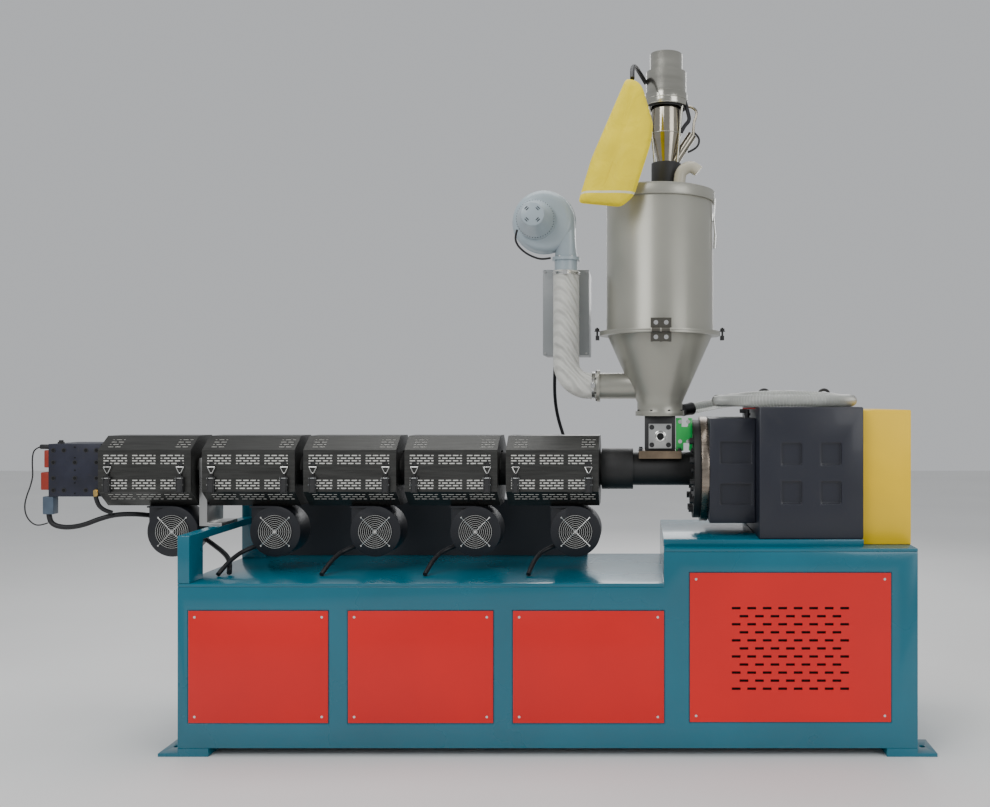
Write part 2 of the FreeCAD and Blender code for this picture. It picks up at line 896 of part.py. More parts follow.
sub_part(
    "dryer_blower",
    fuse(
        "dryer_blower",
        rod("dryer_scroll", "y", "dryer_radius", "dryer_depth", "dryer_axis", "dryer_front",
            "dryer_height"),
        box("dryer_outlet", OUTLET_X, ("-dryer_outlet_half_width", "dryer_outlet_half_width"),
            (FLANGE_TOP, "dryer_height")),
        box("dryer_flange_plate",
            ("duct_axis - dryer_flange_half_width", "duct_axis + dryer_flange_half_width"),
            ("-dryer_flange_half_width", "dryer_flange_half_width"),
            ("dryer_flange_bottom", FLANGE_TOP)),
        rod("dryer_neck", "z", "dryer_neck_radius", "dryer_flange_bottom - duct_top", "duct_axis", 0,
            "duct_top"),
    ),
)
sub_part(
    "dryer_motor",
    fuse(
        "dryer_motor",
        rod("motor_body", "y", "dryer_motor_radius", "dryer_motor_length", "dryer_motor_axis",
            "dryer_front - dryer_motor_length", "dryer_height"),
        rod("motor_cap", "y", "dryer_cap_radius", "dryer_cap_length", "dryer_motor_axis",
            "dryer_front - dryer_motor_length - dryer_cap_length", "dryer_height"),
    ),
)
sub_part(
    "control_box",
    box("control_box", ("box_start", "box_end"),
        ("inlet_radius + seat", "inlet_radius + seat + box_depth"), ("box_bottom", "box_top")),
)

# ---- gearbox -----------------------------------------------------------------------------
GEARBOX_BOTTOM = "high_deck_top + gearbox_pad"
sub_part(
    "gearbox_pad",
    box("gearbox_pad", ("step_place", "gearbox_end"),
        ("-gearbox_half_depth", "gearbox_half_depth"), ("high_deck_top", GEARBOX_BOTTOM)),
)


def pockets(name, x_edges, z_edges, face, front):
    """Recesses in a casting's front and back faces, one for each pair of edges."""
    tools = []
    for i, x_span in enumerate(x_edges):
        for j, z_span in enumerate(z_edges):
            tools.append(box(f"{name}_{i}_{j}_front", x_span, (f"-{face}", f"-{face} + pocket_depth"), z_span))
            if not front:
                tools.append(box(f"{name}_{i}_{j}_back", x_span, (f"{face} - pocket_depth", face), z_span))
    return tools


sub_part(
    "gearbox_nose",
    cut(
        "gearbox_nose",
        box("nose_solid", ("ring_end", "gearbox_start"), ("-nose_half_depth", "nose_half_depth"),
            ("nose_bottom", "nose_top")),
        *pockets("nose_pocket", [("gearbox_start - 133", "gearbox_start - 13")],
                 [("nose_bottom + 67", "nose_bottom + 147"), ("nose_top - 169", "nose_top - 86")],
                 "nose_half_depth", False),
    ),
)
sub_part(
    "gearbox_body",
    cut(
        "gearbox_body",
        box("body_solid", ("gearbox_start", "gearbox_end"),
            ("-gearbox_half_depth", "gearbox_half_depth"), (GEARBOX_BOTTOM, "gearbox_top")),
        *pockets("body_pocket",
                 [("gearbox_start + 80", "gearbox_start + 155"),
                  ("gearbox_end - 155", "gearbox_end - 80")],
                 [(f"{GEARBOX_BOTTOM} + 128", f"{GEARBOX_BOTTOM} + 210"),
                  ("gearbox_top - 210", "gearbox_top - 128")],
                 "gearbox_half_depth", False),
    ),
)
sub_part(
    "drive_guard",
    box("drive_guard", ("gearbox_end", "drive_guard_end"),
        ("-drive_guard_half_depth", "drive_guard_half_depth"), ("high_deck_top", "drive_guard_top")),
)

# ---- suction hose, dust bag and its pipe -------------------------------------------------
HOSE = 46
COIL_RADIUS = 260
COIL_TURNS_HIGH = 1
COIL_TURNS_WIDE = 3
COIL_X = 888
sub_part(
    "hose_coil",
    turned(
        "hose_coil",
        "z",
        [
            ("gearbox_top", COIL_RADIUS - (COIL_TURNS_WIDE - 0.5) * HOSE),
            ("gearbox_top", COIL_RADIUS + HOSE / 2),
            (f"gearbox_top + {COIL_TURNS_HIGH * HOSE}", COIL_RADIUS + HOSE / 2),
            (f"gearbox_top + {COIL_TURNS_HIGH * HOSE}", COIL_RADIUS - (COIL_TURNS_WIDE - 0.5) * HOSE),
        ],
        x=COIL_X,
    ),
)
BAG_DEPTH = 80
BAG_FRONT = -285
BAG_OUTLINE = [(277, 2444), (321, 2433), (339, 2407), (376, 2276), (368, 2206), (306, 2013),
               (259, 1972), (101, 1987), (150, 2150)]
sub_part(
    "dust_bag",
    prism("dust_bag", "y", BAG_OUTLINE, BAG_DEPTH, y=BAG_FRONT + BAG_DEPTH),
)

# ---- free cables: straight runs joined by tangent arcs ------------------------------------
def tube(name, diameter, points):
    """A round cable along the points, each corner rounded as far as its runs allow."""
    points = [Vector(*p) for p in points]
    edges, start = [], points[0]
    radii = []
    for before, corner, after in zip(points, points[1:], points[2:]):
        inward = (corner - before).normalize()
        outward = (after - corner).normalize()
        half_turn = inward.getAngle(outward) / 2
        back = 0.45 * min((corner - before).Length, (after - corner).Length)
        radius = back / math.tan(half_turn)
        radii.append(round(radius))
        arc_start, arc_end = corner - inward * back, corner + outward * back
        towards_centre = (outward - inward).normalize()
        middle = corner + towards_centre * (radius / math.cos(half_turn) - radius)
        edges.append(Part.LineSegment(start, arc_start).toShape())
        edges.append(Part.Arc(arc_start, middle, arc_end).toShape())
        start = arc_end
    edges.append(Part.LineSegment(start, points[-1]).toShape())
    path = Part.Wire(edges)
    section = Part.Wire(Part.Circle(points[0], points[1] - points[0], diameter / 2).toShape())
    solid = path.makePipeShell([section], True, True)
    expected = math.pi * diameter**2 / 4 * path.Length
    print(f"{name}: {path.Length:.0f} mm, radii {radii}, volume {solid.Volume / expected:.4f}")
    return solid


def cable_node(name, *solids):
    piece = doc.addObject("Part::Feature", name)
    piece.Shape = solids[0] if len(solids) == 1 else Part.makeCompound(list(solids))
    return sub_part(name, piece)


SUCTION_HOSE = [(782, 260, 1266), (690, 247, 1261), (592, 204, 1242), (500, 140, 1226)]
HEAD_CABLE = [(-1930, -80, 831.7), (-1927, -80, 808), (-1914, -80, 792), (-1890, -80, 783),
              (-1850, -80, 780), (-1795, -80, 790), (-1745, -72, 811), (-1690, -58, 827),
              (-1630, -25, 826), (-1582, 34, 812), (-1528, 70, 790), (-1465, 74, 760),
              (-1405, 66, 724), (-1350, 40, 695), (-1300, 0, 676), (-1255, -55, 660),
              (-1225, -115, 644), (-1200, -180, 625)]
BLOCK_CABLE = [(-1736, -109, 902.6), (-1733, -104, 876), (-1722, -96, 856), (-1707, -85, 843),
               (-1692, -73, 836)]
SENSOR_CABLE = [(-1956.3, -88, 1089), (-1978, -89, 1082), (-1987, -90, 1058), (-1988, -90, 1018),
                (-1985, -90, 978), (-1995, -90, 938), (-2010, -90, 900), (-2018, -90, 862),
                (-2012, -90, 826), (-1992, -90, 799), (-1963, -89, 786), (-1932, -85, 798)]
FAN_CABLE = [(-82, -50, 706), (-122, -70, 692), (-144, -110, 673), (-158, -158, 650),
             (-167, -206, 622.7)]
BOX_CABLE = [(-20, 200, 1442.4), (-21, 206, 1398), (-25, 232, 1346), (-28, 270, 1296),
             (-26, 302, 1240), (-15, 316, 1180), (4, 322, 1120), (18, 324, 1060), (23, 325, 1000),
             (20, 325, 940), (14, 325, 890), (10, 325, 850.6)]
DRYER_CABLE = [(-136, -120, 1911), (-147, -114, 1884), (-138, -102, 1854), (-110, -88, 1828),
               (-76, -76, 1812), (-45, -64, 1806), (-16.5, -50, 1814)]

BAG_PIPE = [(351.4, -6, 2500), (337, -20, 2520), (322, -60, 2531), (311, -115, 2528),
            (303, -170, 2512), (299, -218, 2482), (300, -245, 2443)]
cable_node("bag_pipe", tube("bag_pipe", 17, BAG_PIPE))
cable_node("suction_hose", tube("suction_hose", HOSE, SUCTION_HOSE))
cable_node("head_cable", tube("head_cable", 19, HEAD_CABLE))
cable_node("block_cable", tube("block_cable", 16, BLOCK_CABLE))
cable_node("sensor_cable", tube("sensor_cable", 5, SENSOR_CABLE))
fan_middles = [size(f"{cover_start(i)} + cover_length / 2 + fan_offset") for i in range(COVERS)]
cable_node(
    "fan_cables",
    *(tube(f"fan_cable_{i + 2}", 17, [(middle + x, y, z) for x, y, z in FAN_CABLE])
      for i, middle in enumerate(fan_middles[1:])),
)
cable_node("box_cable", tube("box_cable", 14, BOX_CABLE))
cable_node("dryer_cable", tube("dryer_cable", 8, DRYER_CABLE))

# ---- checks and export -------------------------------------------------------------------
doc.recompute()
for thing in doc.Objects:
    if {"Invalid", "Error"} & set(thing.State):
        raise RuntimeError(f"{thing.Name} failed: {thing.State}")
os.makedirs("parts", exist_ok=True)
for name, piece in PARTS:
    if piece.Shape.isNull() or not piece.Shape.isValid():
        raise RuntimeError(f"{name} has no valid shape")
    piece.Shape.exportStep(f"parts/{name}.step")
print(len(PARTS), "sub-parts")
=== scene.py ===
import math

import bmesh
import bpy
from mathutils import Matrix, Vector


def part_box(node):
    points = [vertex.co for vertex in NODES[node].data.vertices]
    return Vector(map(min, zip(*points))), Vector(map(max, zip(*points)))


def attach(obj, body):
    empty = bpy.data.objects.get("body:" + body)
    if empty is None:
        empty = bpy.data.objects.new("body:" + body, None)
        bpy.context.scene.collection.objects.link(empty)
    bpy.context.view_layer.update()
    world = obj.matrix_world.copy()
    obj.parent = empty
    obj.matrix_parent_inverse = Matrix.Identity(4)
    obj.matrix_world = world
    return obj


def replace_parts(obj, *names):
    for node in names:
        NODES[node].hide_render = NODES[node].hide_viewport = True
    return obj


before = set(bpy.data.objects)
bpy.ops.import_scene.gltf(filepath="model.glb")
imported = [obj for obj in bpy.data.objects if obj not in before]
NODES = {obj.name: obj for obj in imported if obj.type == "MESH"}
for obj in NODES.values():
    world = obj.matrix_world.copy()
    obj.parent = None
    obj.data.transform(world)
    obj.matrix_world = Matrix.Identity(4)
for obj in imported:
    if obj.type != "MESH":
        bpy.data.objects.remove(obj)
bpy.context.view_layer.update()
MM = 0.001
BASE = "machine"
DRUM = "drum"

# places in the shared frame, in millimetres
AXIS_Z = 1000       # middle of the barrel
FAN_Z = 765
FLANGE_X = 531      # front of the barrel flange
HOPPER_X = 405
LOADER_X = 430
DUCT_X = 40
DRYER_Z = 1958      # middle of the blower and its motor
MOTOR_X = -72
INLET_Z = 1322      # middle of the hot air inlet
PORT_Z = 1129       # middle of the discharge port
GLAND_X = -1736
OIL_X, OIL_Y = 728, -168


# ---- materials
def material(name, colour, roughness, metallic=0.0, coat=0.0, variation=0.08, scale=6.0,
             bump=0.15, grain=400.0, stretch=(1, 1, 1), dirt=0.0, sheen=0.0, glow=0.0):
    """A surface with slow colour variation, fine grain and, if asked, some dirt."""
    m = bpy.data.materials.new(name)
    m.use_nodes = True
    tree = m.node_tree
    nodes, links = tree.nodes, tree.links
    shader = nodes["Principled BSDF"]
    shader.inputs["Metallic"].default_value = metallic
    shader.inputs["Coat Weight"].default_value = coat
    shader.inputs["Coat Roughness"].default_value = 0.08
    shader.inputs["Sheen Weight"].default_value = sheen
    shader.inputs["Emission Color"].default_value = (1, 1, 0.96, 1)
    # glow makes a part shine though it is no lamp: painted light
    shader.inputs["Emission Strength"].default_value = glow
    place = nodes.new("ShaderNodeTexCoord")
    mapping = nodes.new("ShaderNodeMapping")
    mapping.inputs["Scale"].default_value = stretch
    links.new(place.outputs["Object"], mapping.inputs["Vector"])

    def noise(size, detail):
        n = nodes.new("ShaderNodeTexNoise")
        n.inputs["Scale"].default_value = size
        n.inputs["Detail"].default_value = detail
        links.new(mapping.outputs["Vector"], n.inputs["Vector"])
        return n

    slow, fine = noise(scale, 5), noise(grain, 3)
    ramp = nodes.new("ShaderNodeValToRGB")
    ramp.color_ramp.elements[0].position = 0.3
    ramp.color_ramp.elements[1].position = 0.7
    ramp.color_ramp.elements[0].color = (*[c * (1 - variation) for c in colour], 1)
    ramp.color_ramp.elements[1].color = (*[min(1, c * (1 + variation)) for c in colour], 1)
    links.new(slow.outputs["Fac"], ramp.inputs["Fac"])
    base = ramp.outputs["Color"]
    if dirt:
        spots = noise(scale * 5, 8)
        mask = nodes.new("ShaderNodeMapRange")
        mask.inputs["From Min"].default_value = 0.58
        mask.inputs["From Max"].default_value = 0.75
        mask.inputs["To Max"].default_value = dirt
        links.new(spots.outputs["Fac"], mask.inputs["Value"])
        mix = nodes.new("ShaderNodeMix")
        mix.data_type = "RGBA"
        mix.inputs["B"].default_value = (0.05, 0.045, 0.04, 1)
        links.new(mask.outputs["Result"], mix.inputs["Factor"])
        links.new(base, mix.inputs["A"])
        base = mix.outputs["Result"]
    links.new(base, shader.inputs["Base Color"])
    rough = nodes.new("ShaderNodeMapRange")
    rough.inputs["To Min"].default_value = max(0.03, roughness - 0.08)
    rough.inputs["To Max"].default_value = min(1, roughness + 0.08)
    links.new(slow.outputs["Fac"], rough.inputs["Value"])
    links.new(rough.outputs["Result"], shader.inputs["Roughness"])
    relief = nodes.new("ShaderNodeBump")
    relief.inputs["Strength"].default_value = bump
    relief.inputs["Distance"].default_value = 0.0006
    links.new(fine.outputs["Fac"], relief.inputs["Height"])
    links.new(relief.outputs["Normal"], shader.inputs["Normal"])
    return m


MATERIALS = {
    "teal": material("teal", (0.0, 0.125, 0.185), 0.28, coat=0.35, scale=2.2, grain=120,
                     variation=0.12),
    "red": material("red", (0.66, 0.0, 0.0), 0.42, coat=0.12, scale=2.5, grain=140,
                    variation=0.06),
    "yellow": material("yellow", (0.86, 0.55, 0.0), 0.36, coat=0.1, scale=3, grain=130),
    "casting": material("casting", (0.011, 0.013, 0.023), 0.42, coat=0.1, scale=5, grain=260,
                        bump=0.4, dirt=0.1),
    "cover": material("cover", (0.055, 0.055, 0.052), 0.38, metallic=0.75, scale=9, grain=90,
                      stretch=(1, 14, 14), bump=0.35, variation=0.2),
    # painted light: a white sheet with some glow, set behind the cover slots to stand for light
    # seen through them
    "slot_glow": material("slot_glow", (0.9, 0.9, 0.86), 0.6, scale=20, glow=0.4),
    "fan": material("fan", (0.004, 0.005, 0.009), 0.45, coat=0.05, scale=8, grain=300, bump=0.3),
    "barrel": material("barrel", (0.02, 0.02, 0.02), 0.5, metallic=0.3, scale=12, grain=200,
                       stretch=(6, 1, 1), dirt=0.3),
    "trunk": material("trunk", (0.05, 0.052, 0.06), 0.45, metallic=0.3, scale=4, grain=200),
    "machined": material("machined", (0.26, 0.22, 0.18), 0.28, metallic=1, scale=14, grain=150,
                         stretch=(1, 5, 5), bump=0.3, variation=0.3),
    "hopper": material("hopper", (0.34, 0.335, 0.29), 0.33, metallic=0.45, coat=0.1, scale=3,
                       grain=220, variation=0.07),
    "polished": material("polished", (0.36, 0.33, 0.27), 0.13, metallic=1, scale=5, grain=80,
                         stretch=(1, 1, 6), bump=0.08),
    "stainless": material("stainless", (0.44, 0.43, 0.38), 0.2, metallic=1, scale=5, grain=90,
                          stretch=(1, 1, 6), bump=0.1, variation=0.1),
    "steel": material("steel", (0.45, 0.45, 0.44), 0.3, metallic=0.9, scale=9, grain=180),
    "bright": material("bright", (0.68, 0.68, 0.66), 0.22, metallic=1, scale=20, grain=200),
    "dryer": material("dryer", (0.36, 0.43, 0.47), 0.36, coat=0.2, scale=4, grain=240),
    "box": material("box", (0.27, 0.285, 0.29), 0.4, scale=4, grain=260, coat=0.1),
    "head": material("head", (0.022, 0.024, 0.040), 0.42, metallic=0.3, scale=14, grain=120,
                     bump=0.35, dirt=0.35, variation=0.25),
    "connector": material("connector", (0.30, 0.024, 0.010), 0.45, scale=22, dirt=0.45),
    "heat": material("heat", (0.20, 0.15, 0.10), 0.4, metallic=0.6, scale=16, dirt=0.35,
                     variation=0.3),
    "heat_dark": material("heat_dark", (0.10, 0.095, 0.08), 0.4, metallic=0.7, scale=20,
                          dirt=0.4),
    "iron": material("iron", (0.02, 0.02, 0.021), 0.5, scale=18, grain=160, bump=0.6, dirt=0.3),
    "green": material("green", (0.008, 0.42, 0.07), 0.35, coat=0.3, scale=8, grain=200),
    "rubber": material("rubber", (0.006, 0.006, 0.008), 0.5, scale=30, grain=500, bump=0.3),
    # painted shade: near-black and rough, laid in mouths, sockets and slots where shade falls
    "hole_shade": material("hole_shade", (0.004, 0.004, 0.005), 0.9, scale=10),
    "brass": material("brass", (0.62, 0.43, 0.16), 0.25, metallic=1, scale=20),
    "blue_grey": material("blue_grey", (0.07, 0.10, 0.14), 0.4, scale=18, variation=0.2),
    "valve_red": material("valve_red", (0.5, 0.01, 0.01), 0.35, coat=0.3, scale=20),
    "beige": material("beige", (0.50, 0.47, 0.38), 0.4, scale=8, coat=0.1),
}


def duct_wrap():
    """Off-white insulating sleeve with wound ridges and a coarse weave."""
    m = material("duct_wrap", (0.60, 0.60, 0.555), 0.7, scale=9, grain=260, bump=0.5,
                 variation=0.12, dirt=0.12, sheen=0.3)
    nodes, links = m.node_tree.nodes, m.node_tree.links
    wave = nodes.new("ShaderNodeTexWave")
    wave.bands_direction = "DIAGONAL"
    wave.inputs["Scale"].default_value = 14
    wave.inputs["Distortion"].default_value = 2.5
    place = next(n for n in nodes if n.type == "TEX_COORD")
    links.new(place.outputs["Object"], wave.inputs["Vector"])
    ridges = nodes.new("ShaderNodeBump")
    ridges.inputs["Strength"].default_value = 1.15
    ridges.inputs["Distance"].default_value = 0.006
    old = next(n for n in nodes if n.type == "BUMP" and n is not ridges)
    links.new(wave.outputs["Fac"], ridges.inputs["Height"])
    links.new(old.outputs["Normal"], ridges.inputs["Normal"])
    links.new(ridges.outputs["Normal"], nodes["Principled BSDF"].inputs["Normal"])
    return m


def clear_plastic():
    """Milky see-through hose wall."""
    m = material("clear_hose", (0.72, 0.74, 0.70), 0.22, scale=12, variation=0.05, bump=0.1)
    shader = m.node_tree.nodes["Principled BSDF"]
    shader.inputs["Transmission Weight"].default_value = 0.55
    shader.inputs["IOR"].default_value = 1.3
    return m


def bag_cloth():
    """Bright yellow woven bag: fine weave bump, soft creases."""
    m = material("bag_cloth", (0.93, 0.72, 0.0), 0.6, scale=7, grain=700, bump=0.5,
                 variation=0.08, sheen=0.05)
    nodes, links = m.node_tree.nodes, m.node_tree.links
    place = next(n for n in nodes if n.type == "TEX_COORD")
    creases = nodes.new("ShaderNodeTexNoise")
    creases.inputs["Scale"].default_value = 11
    creases.inputs["Distortion"].default_value = 1.6
    links.new(place.outputs["Object"], creases.inputs["Vector"])
    fold = nodes.new("ShaderNodeBump")
    fold.inputs["Strength"].default_value = 0.7
    fold.inputs["Distance"].default_value = 0.012
    old = next(n for n in nodes if n.type == "BUMP" and n is not fold)
    links.new(creases.outputs["Fac"], fold.inputs["Height"])
    links.new(old.outputs["Normal"], fold.inputs["Normal"])
    links.new(fold.outputs["Normal"], nodes["Principled BSDF"].inputs["Normal"])
    split = nodes.new("ShaderNodeSeparateXYZ")
    links.new(place.outputs["Object"], split.inputs["Vector"])
    band = nodes.new("ShaderNodeMath")
    band.operation = "COMPARE"
    band.inputs[1].default_value = 2.022
    band.inputs[2].default_value = 0.004
    links.new(split.outputs["Z"], band.inputs[0])
    stripe = nodes.new("ShaderNodeMix")
    stripe.data_type = "RGBA"
    stripe.inputs["B"].default_value = (0.75, 0.72, 0.5, 1)
    shader = nodes["Principled BSDF"]
    links.new(shader.inputs["Base Color"].links[0].from_socket, stripe.inputs["A"])
    links.new(band.outputs["Value"], stripe.inputs["Factor"])
    links.new(stripe.outputs["Result"], shader.inputs["Base Color"])
    return m


MATERIALS["wrap"] = duct_wrap()
MATERIALS["hose"] = clear_plastic()
MATERIALS["bag"] = bag_cloth()

NODE_MATERIAL = {
    "front_side_frame": "teal", "rear_side_frame": "teal", "end_walls": "teal", "deck": "teal",
    "foot_plates": "teal", "barrel_portal": "teal", "gearbox_pad": "teal",
    "front_panels": "red", "rear_panels": "red", "vent_panel": "red",
    "barrel_bearer": "steel", "wiring_trunk": "trunk", "barrel": "barrel",
    "barrel_flange": "barrel", "flange_ring": "machined", "lower_covers": "cover",
    "cover_latches": "iron", "barrel_fans": "fan", "head_block": "head",
    "head_fittings": "connector", "feed_flange": "heat", "feed_throat": "iron",
    "discharge_port": "steel", "feed_guard": "green", "hopper_cone": "hopper",
    "hopper_drum": "hopper", "hopper_lid": "hopper", "loader_base": "iron",
    "loader_vessel": "polished", "loader_head": "stainless", "hot_air_duct": "wrap",
    "dryer_blower": "dryer", "dryer_motor": "dryer", "control_box": "box",
    "gearbox_nose": "casting", "gearbox_body": "casting", "drive_guard": "yellow",
    **{f"upper_cover_{i}": "cover" for i in range(1, 6)},
}
SOFT_EDGE = {"front_side_frame": 2.5, "rear_side_frame": 2.5, "deck": 2.0, "gearbox_pad": 2,
             "barrel_portal": 3, "gearbox_nose": 5, "gearbox_body": 7, "drive_guard": 5,
             "head_block": 2, "control_box": 3, "foot_plates": 1.5, "end_walls": 2,
             "feed_throat": 3, "feed_flange": 2, "discharge_port": 1.5, "wiring_trunk": 2,
             "flange_ring": 2, "barrel_flange": 2, "barrel": 2, "hopper_lid": 3,
             "loader_head": 3, "loader_base": 2, "dryer_blower": 3, "dryer_motor": 5,
             "feed_guard": 1, "barrel_bearer": 1.5, "cover_latches": 1.5, "barrel_fans": 3,
             "hopper_cone": 1.2, "hopper_drum": 1.2, "front_panels": 0.7, "rear_panels": 0.7}


def sharpen(obj, degrees):
    """Split the edges sharper than an angle, so that flat faces stay flat."""
    split = obj.modifiers.new("sharp", "EDGE_SPLIT")
    split.split_angle = math.radians(degrees)


def soften(obj, width_mm, segments=2):
    """Round the sharp edges by a modifier."""
    bevel = obj.modifiers.new("soft_edges", "BEVEL")
    bevel.width = width_mm * MM
    bevel.segments = segments
    bevel.limit_method = "ANGLE"
    bevel.angle_limit = math.radians(40)


def dress_nodes():
    """Give the CAD nodes their materials and small rounded edges."""
    for name, word in NODE_MATERIAL.items():
        node = NODES[name]
        node.data.materials.clear()
        node.data.materials.append(MATERIALS[word])
        node.data.shade_smooth()
        if name in SOFT_EDGE:
            weld = node.modifiers.new("weld", "WELD")
            weld.merge_threshold = 0.00002
            soften(node, SOFT_EDGE[name])
        sharpen(node, 32)


# ---- small builders
def link(obj):
    bpy.context.scene.collection.objects.link(obj)


def piece(name, mesh, word, body, smooth=True):
    """An object from a bmesh, with its material, riding on a CAD body."""
    data = bpy.data.meshes.new(name)
    mesh.to_mesh(data)
    mesh.free()
    obj = bpy.data.objects.new(name, data)
    link(obj)
    data.materials.append(MATERIALS[word])
    if smooth:
        data.shade_smooth()
        sharpen(obj, 35)
    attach(obj, body)
    return obj


def towards(axis):
    """A turn that takes +Z to the axis."""
    return Vector(axis).normalized().to_track_quat("Z", "Y").to_matrix().to_4x4()


def add_cylinder(bm, centre, radius, length, axis=(0, 0, 1), sides=24, top=None):
    place = Matrix.Translation(Vector(centre)) @ towards(axis)
    bmesh.ops.create_cone(bm, cap_ends=True, segments=sides, radius1=radius,
                          radius2=radius if top is None else top, depth=length, matrix=place)


def add_box(bm, low, high):
    low, high = Vector(low), Vector(high)
    place = Matrix.Translation((low + high) / 2) @ Matrix.Diagonal((*(high - low), 1))
    bmesh.ops.create_cube(bm, size=1, matrix=place)


def add_ring(bm, centre, radius, thick, axis=(0, 0, 1), steps=48, sides=8):
    place = Matrix.Translation(Vector(centre)) @ towards(axis)
    rows = []
    for i in range(steps):
        a = 2 * math.pi * i / steps
        row = []
        for j in range(sides):
            b = 2 * math.pi * j / sides
            r = radius + thick * math.cos(b)
            row.append(bm.verts.new(place @ Vector((r * math.cos(a), r * math.sin(a),
                                                    thick * math.sin(b)))))
        rows.append(row)
    for i in range(steps):
        for j in range(sides):
            a, b = rows[i], rows[(i + 1) % steps]
            bm.faces.new((a[j], b[j], b[(j + 1) % sides], a[(j + 1) % sides]))


def add_rod(bm, start, end, radius, sides=10):
    start, end = Vector(start), Vector(end)
    add_cylinder(bm, (start + end) / 2, radius, (end - start).length, end - start, sides)


def add_screw(bm, place, axis, radius, height, sides=6, washer=0.0):
    """A bolt head, with a washer under it if asked."""
    axis = Vector(axis).normalized()
    if washer:
        add_cylinder(bm, Vector(place) + axis * 0.001, washer, 0.002, axis, 20)
    add_cylinder(bm, Vector(place) + axis * height / 2, radius, height, axis, sides)


def add_lathe(bm, centre, axis, profile, steps=64):
    """A turned form: profile is (place along the axis, radius) in metres."""
    place = Matrix.Translation(Vector(centre)) @ towards(axis)
    rows = []
    for along, radius in profile:
        rows.append([bm.verts.new(place @ Vector((radius * math.cos(2 * math.pi * k / steps),
                                                  radius * math.sin(2 * math.pi * k / steps),
                                                  along))) for k in range(steps)])
    for a, b in zip(rows, rows[1:]):
        for k in range(steps):
            n = (k + 1) % steps
            bm.faces.new((a[k], a[n], b[n], b[k]))
    bm.faces.new(rows[0][::-1])
    bm.faces.new(rows[-1])


def add_loft(bm, sections):
    """Rounded rectangles joined in turn: each is (centre, half x, half y, roundness)."""
    rows = []
    for centre, half_x, half_y, power in sections:
        row = []
        for k in range(40):
            a = 2 * math.pi * k / 40
            u, v = math.cos(a), math.sin(a)
            row.append(bm.verts.new(Vector(centre) + Vector((
                half_x * math.copysign(abs(u) ** (2 / power), u),
                half_y * math.copysign(abs(v) ** (2 / power), v), 0))))
        rows.append(row)
    for a, b in zip(rows, rows[1:]):
        for k in range(40):
            n = (k + 1) % 40
            bm.faces.new((a[k], a[n], b[n], b[k]))
    bm.faces.new(rows[0][::-1])
    bm.faces.new(rows[-1])


def circle_places(centre, radius, count, axis="x", first=0.0):
    for i in range(count):
        a = math.radians(first) + 2 * math.pi * i / count
        u, v = radius * math.cos(a), radius * math.sin(a)
        offset = {"x": (0, u, v), "y": (u, 0, v), "z": (u, v, 0)}[axis]
        yield Vector(centre) + Vector(offset)


def add_block(bm, centre, half, along, across):
    """A box with half sizes along X, along and across, two unit directions in YZ."""
    turn = Matrix((Vector((1, 0, 0)), Vector((0, *along)), Vector((0, *across)))).transposed()
    place = Matrix.Translation(Vector(centre)) @ turn.to_4x4()
    place = place @ Matrix.Diagonal((2 * half[0], 2 * half[1], 2 * half[2], 1))
    bmesh.ops.create_cube(bm, size=1, matrix=place)


def mm(*numbers):
    return Vector([n * MM for n in numbers])


# ---- camera, light and floor
def set_stage():
    lens = bpy.data.cameras.new("camera")
    lens.lens, lens.sensor_width = 36.36, 36
    lens.shift_x, lens.shift_y = -0.1465, -0.0035
    lens.clip_end = 100
    camera = bpy.data.objects.new("camera", lens)
    camera.location = (0.328, -3.9, 1.267)
    camera.rotation_euler = (math.pi / 2, 0, 0)
    link(camera)
    bpy.context.scene.camera = camera

    floor_stuff = material("floor", (0.80, 0.80, 0.79), 0.6, scale=0.7, grain=60,
                           variation=0.03, bump=0.03)
    bm = bmesh.new()
    bmesh.ops.create_grid(bm, x_segments=4, y_segments=4, size=14)
    data = bpy.data.meshes.new("floor")
    bm.to_mesh(data)
    bm.free()
    floor = bpy.data.objects.new("floor", data)
    data.materials.append(floor_stuff)
    link(floor)

    world = bpy.data.worlds.new("studio")
    world.use_nodes = True
    world.node_tree.nodes["Background"].inputs["Color"].default_value = (0.95, 0.97, 1.0, 1)
    world.node_tree.nodes["Background"].inputs["Strength"].default_value = 0.55
    bpy.context.scene.world = world
    for name, place, aim, size, power in [
        ("key", (-2.6, -4.2, 4.2), (-0.3, 0, 1.0), 2.6, 110),
        ("fill", (3.6, -3.6, 2.6), (0.4, 0, 1.0), 2.4, 60),
        ("top", (-0.4, 0.2, 5.2), (-0.4, 0, 0.8), 3.4, 110),
        ("back", (0.6, 4.2, 3.2), (0, 0, 1.0), 2.6, 60),
    ]:
        lamp = bpy.data.lights.new(name, "AREA")
        lamp.size, lamp.energy = size, power
        obj = bpy.data.objects.new(name, lamp)
        obj.location = place
        obj.rotation_euler = (Vector(aim) - Vector(place)).to_track_quat("-Z", "Y").to_euler()
        link(obj)


# ---- hoses and cables
def curve(name, points, diameter, word, body, replaced=()):
    """One smooth NURBS run through millimetre points, as a round cord."""
    data = bpy.data.curves.new(name, "CURVE")
    data.dimensions = "3D"
    data.bevel_depth = diameter / 2 * MM
    data.bevel_resolution = 5
    data.resolution_u = 8
    data.use_fill_caps = True
    line = data.splines.new("NURBS")
    line.points.add(len(points) - 1)
    for point, place in zip(line.points, points):
        point.co = (*mm(*place), 1)
    line.order_u = 3
    line.use_endpoint_u = True
    data.materials.append(MATERIALS[word])
    obj = bpy.data.objects.new(name, data)
    link(obj)
    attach(obj, body)
    if replaced:
        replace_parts(obj, *replaced)
    return obj


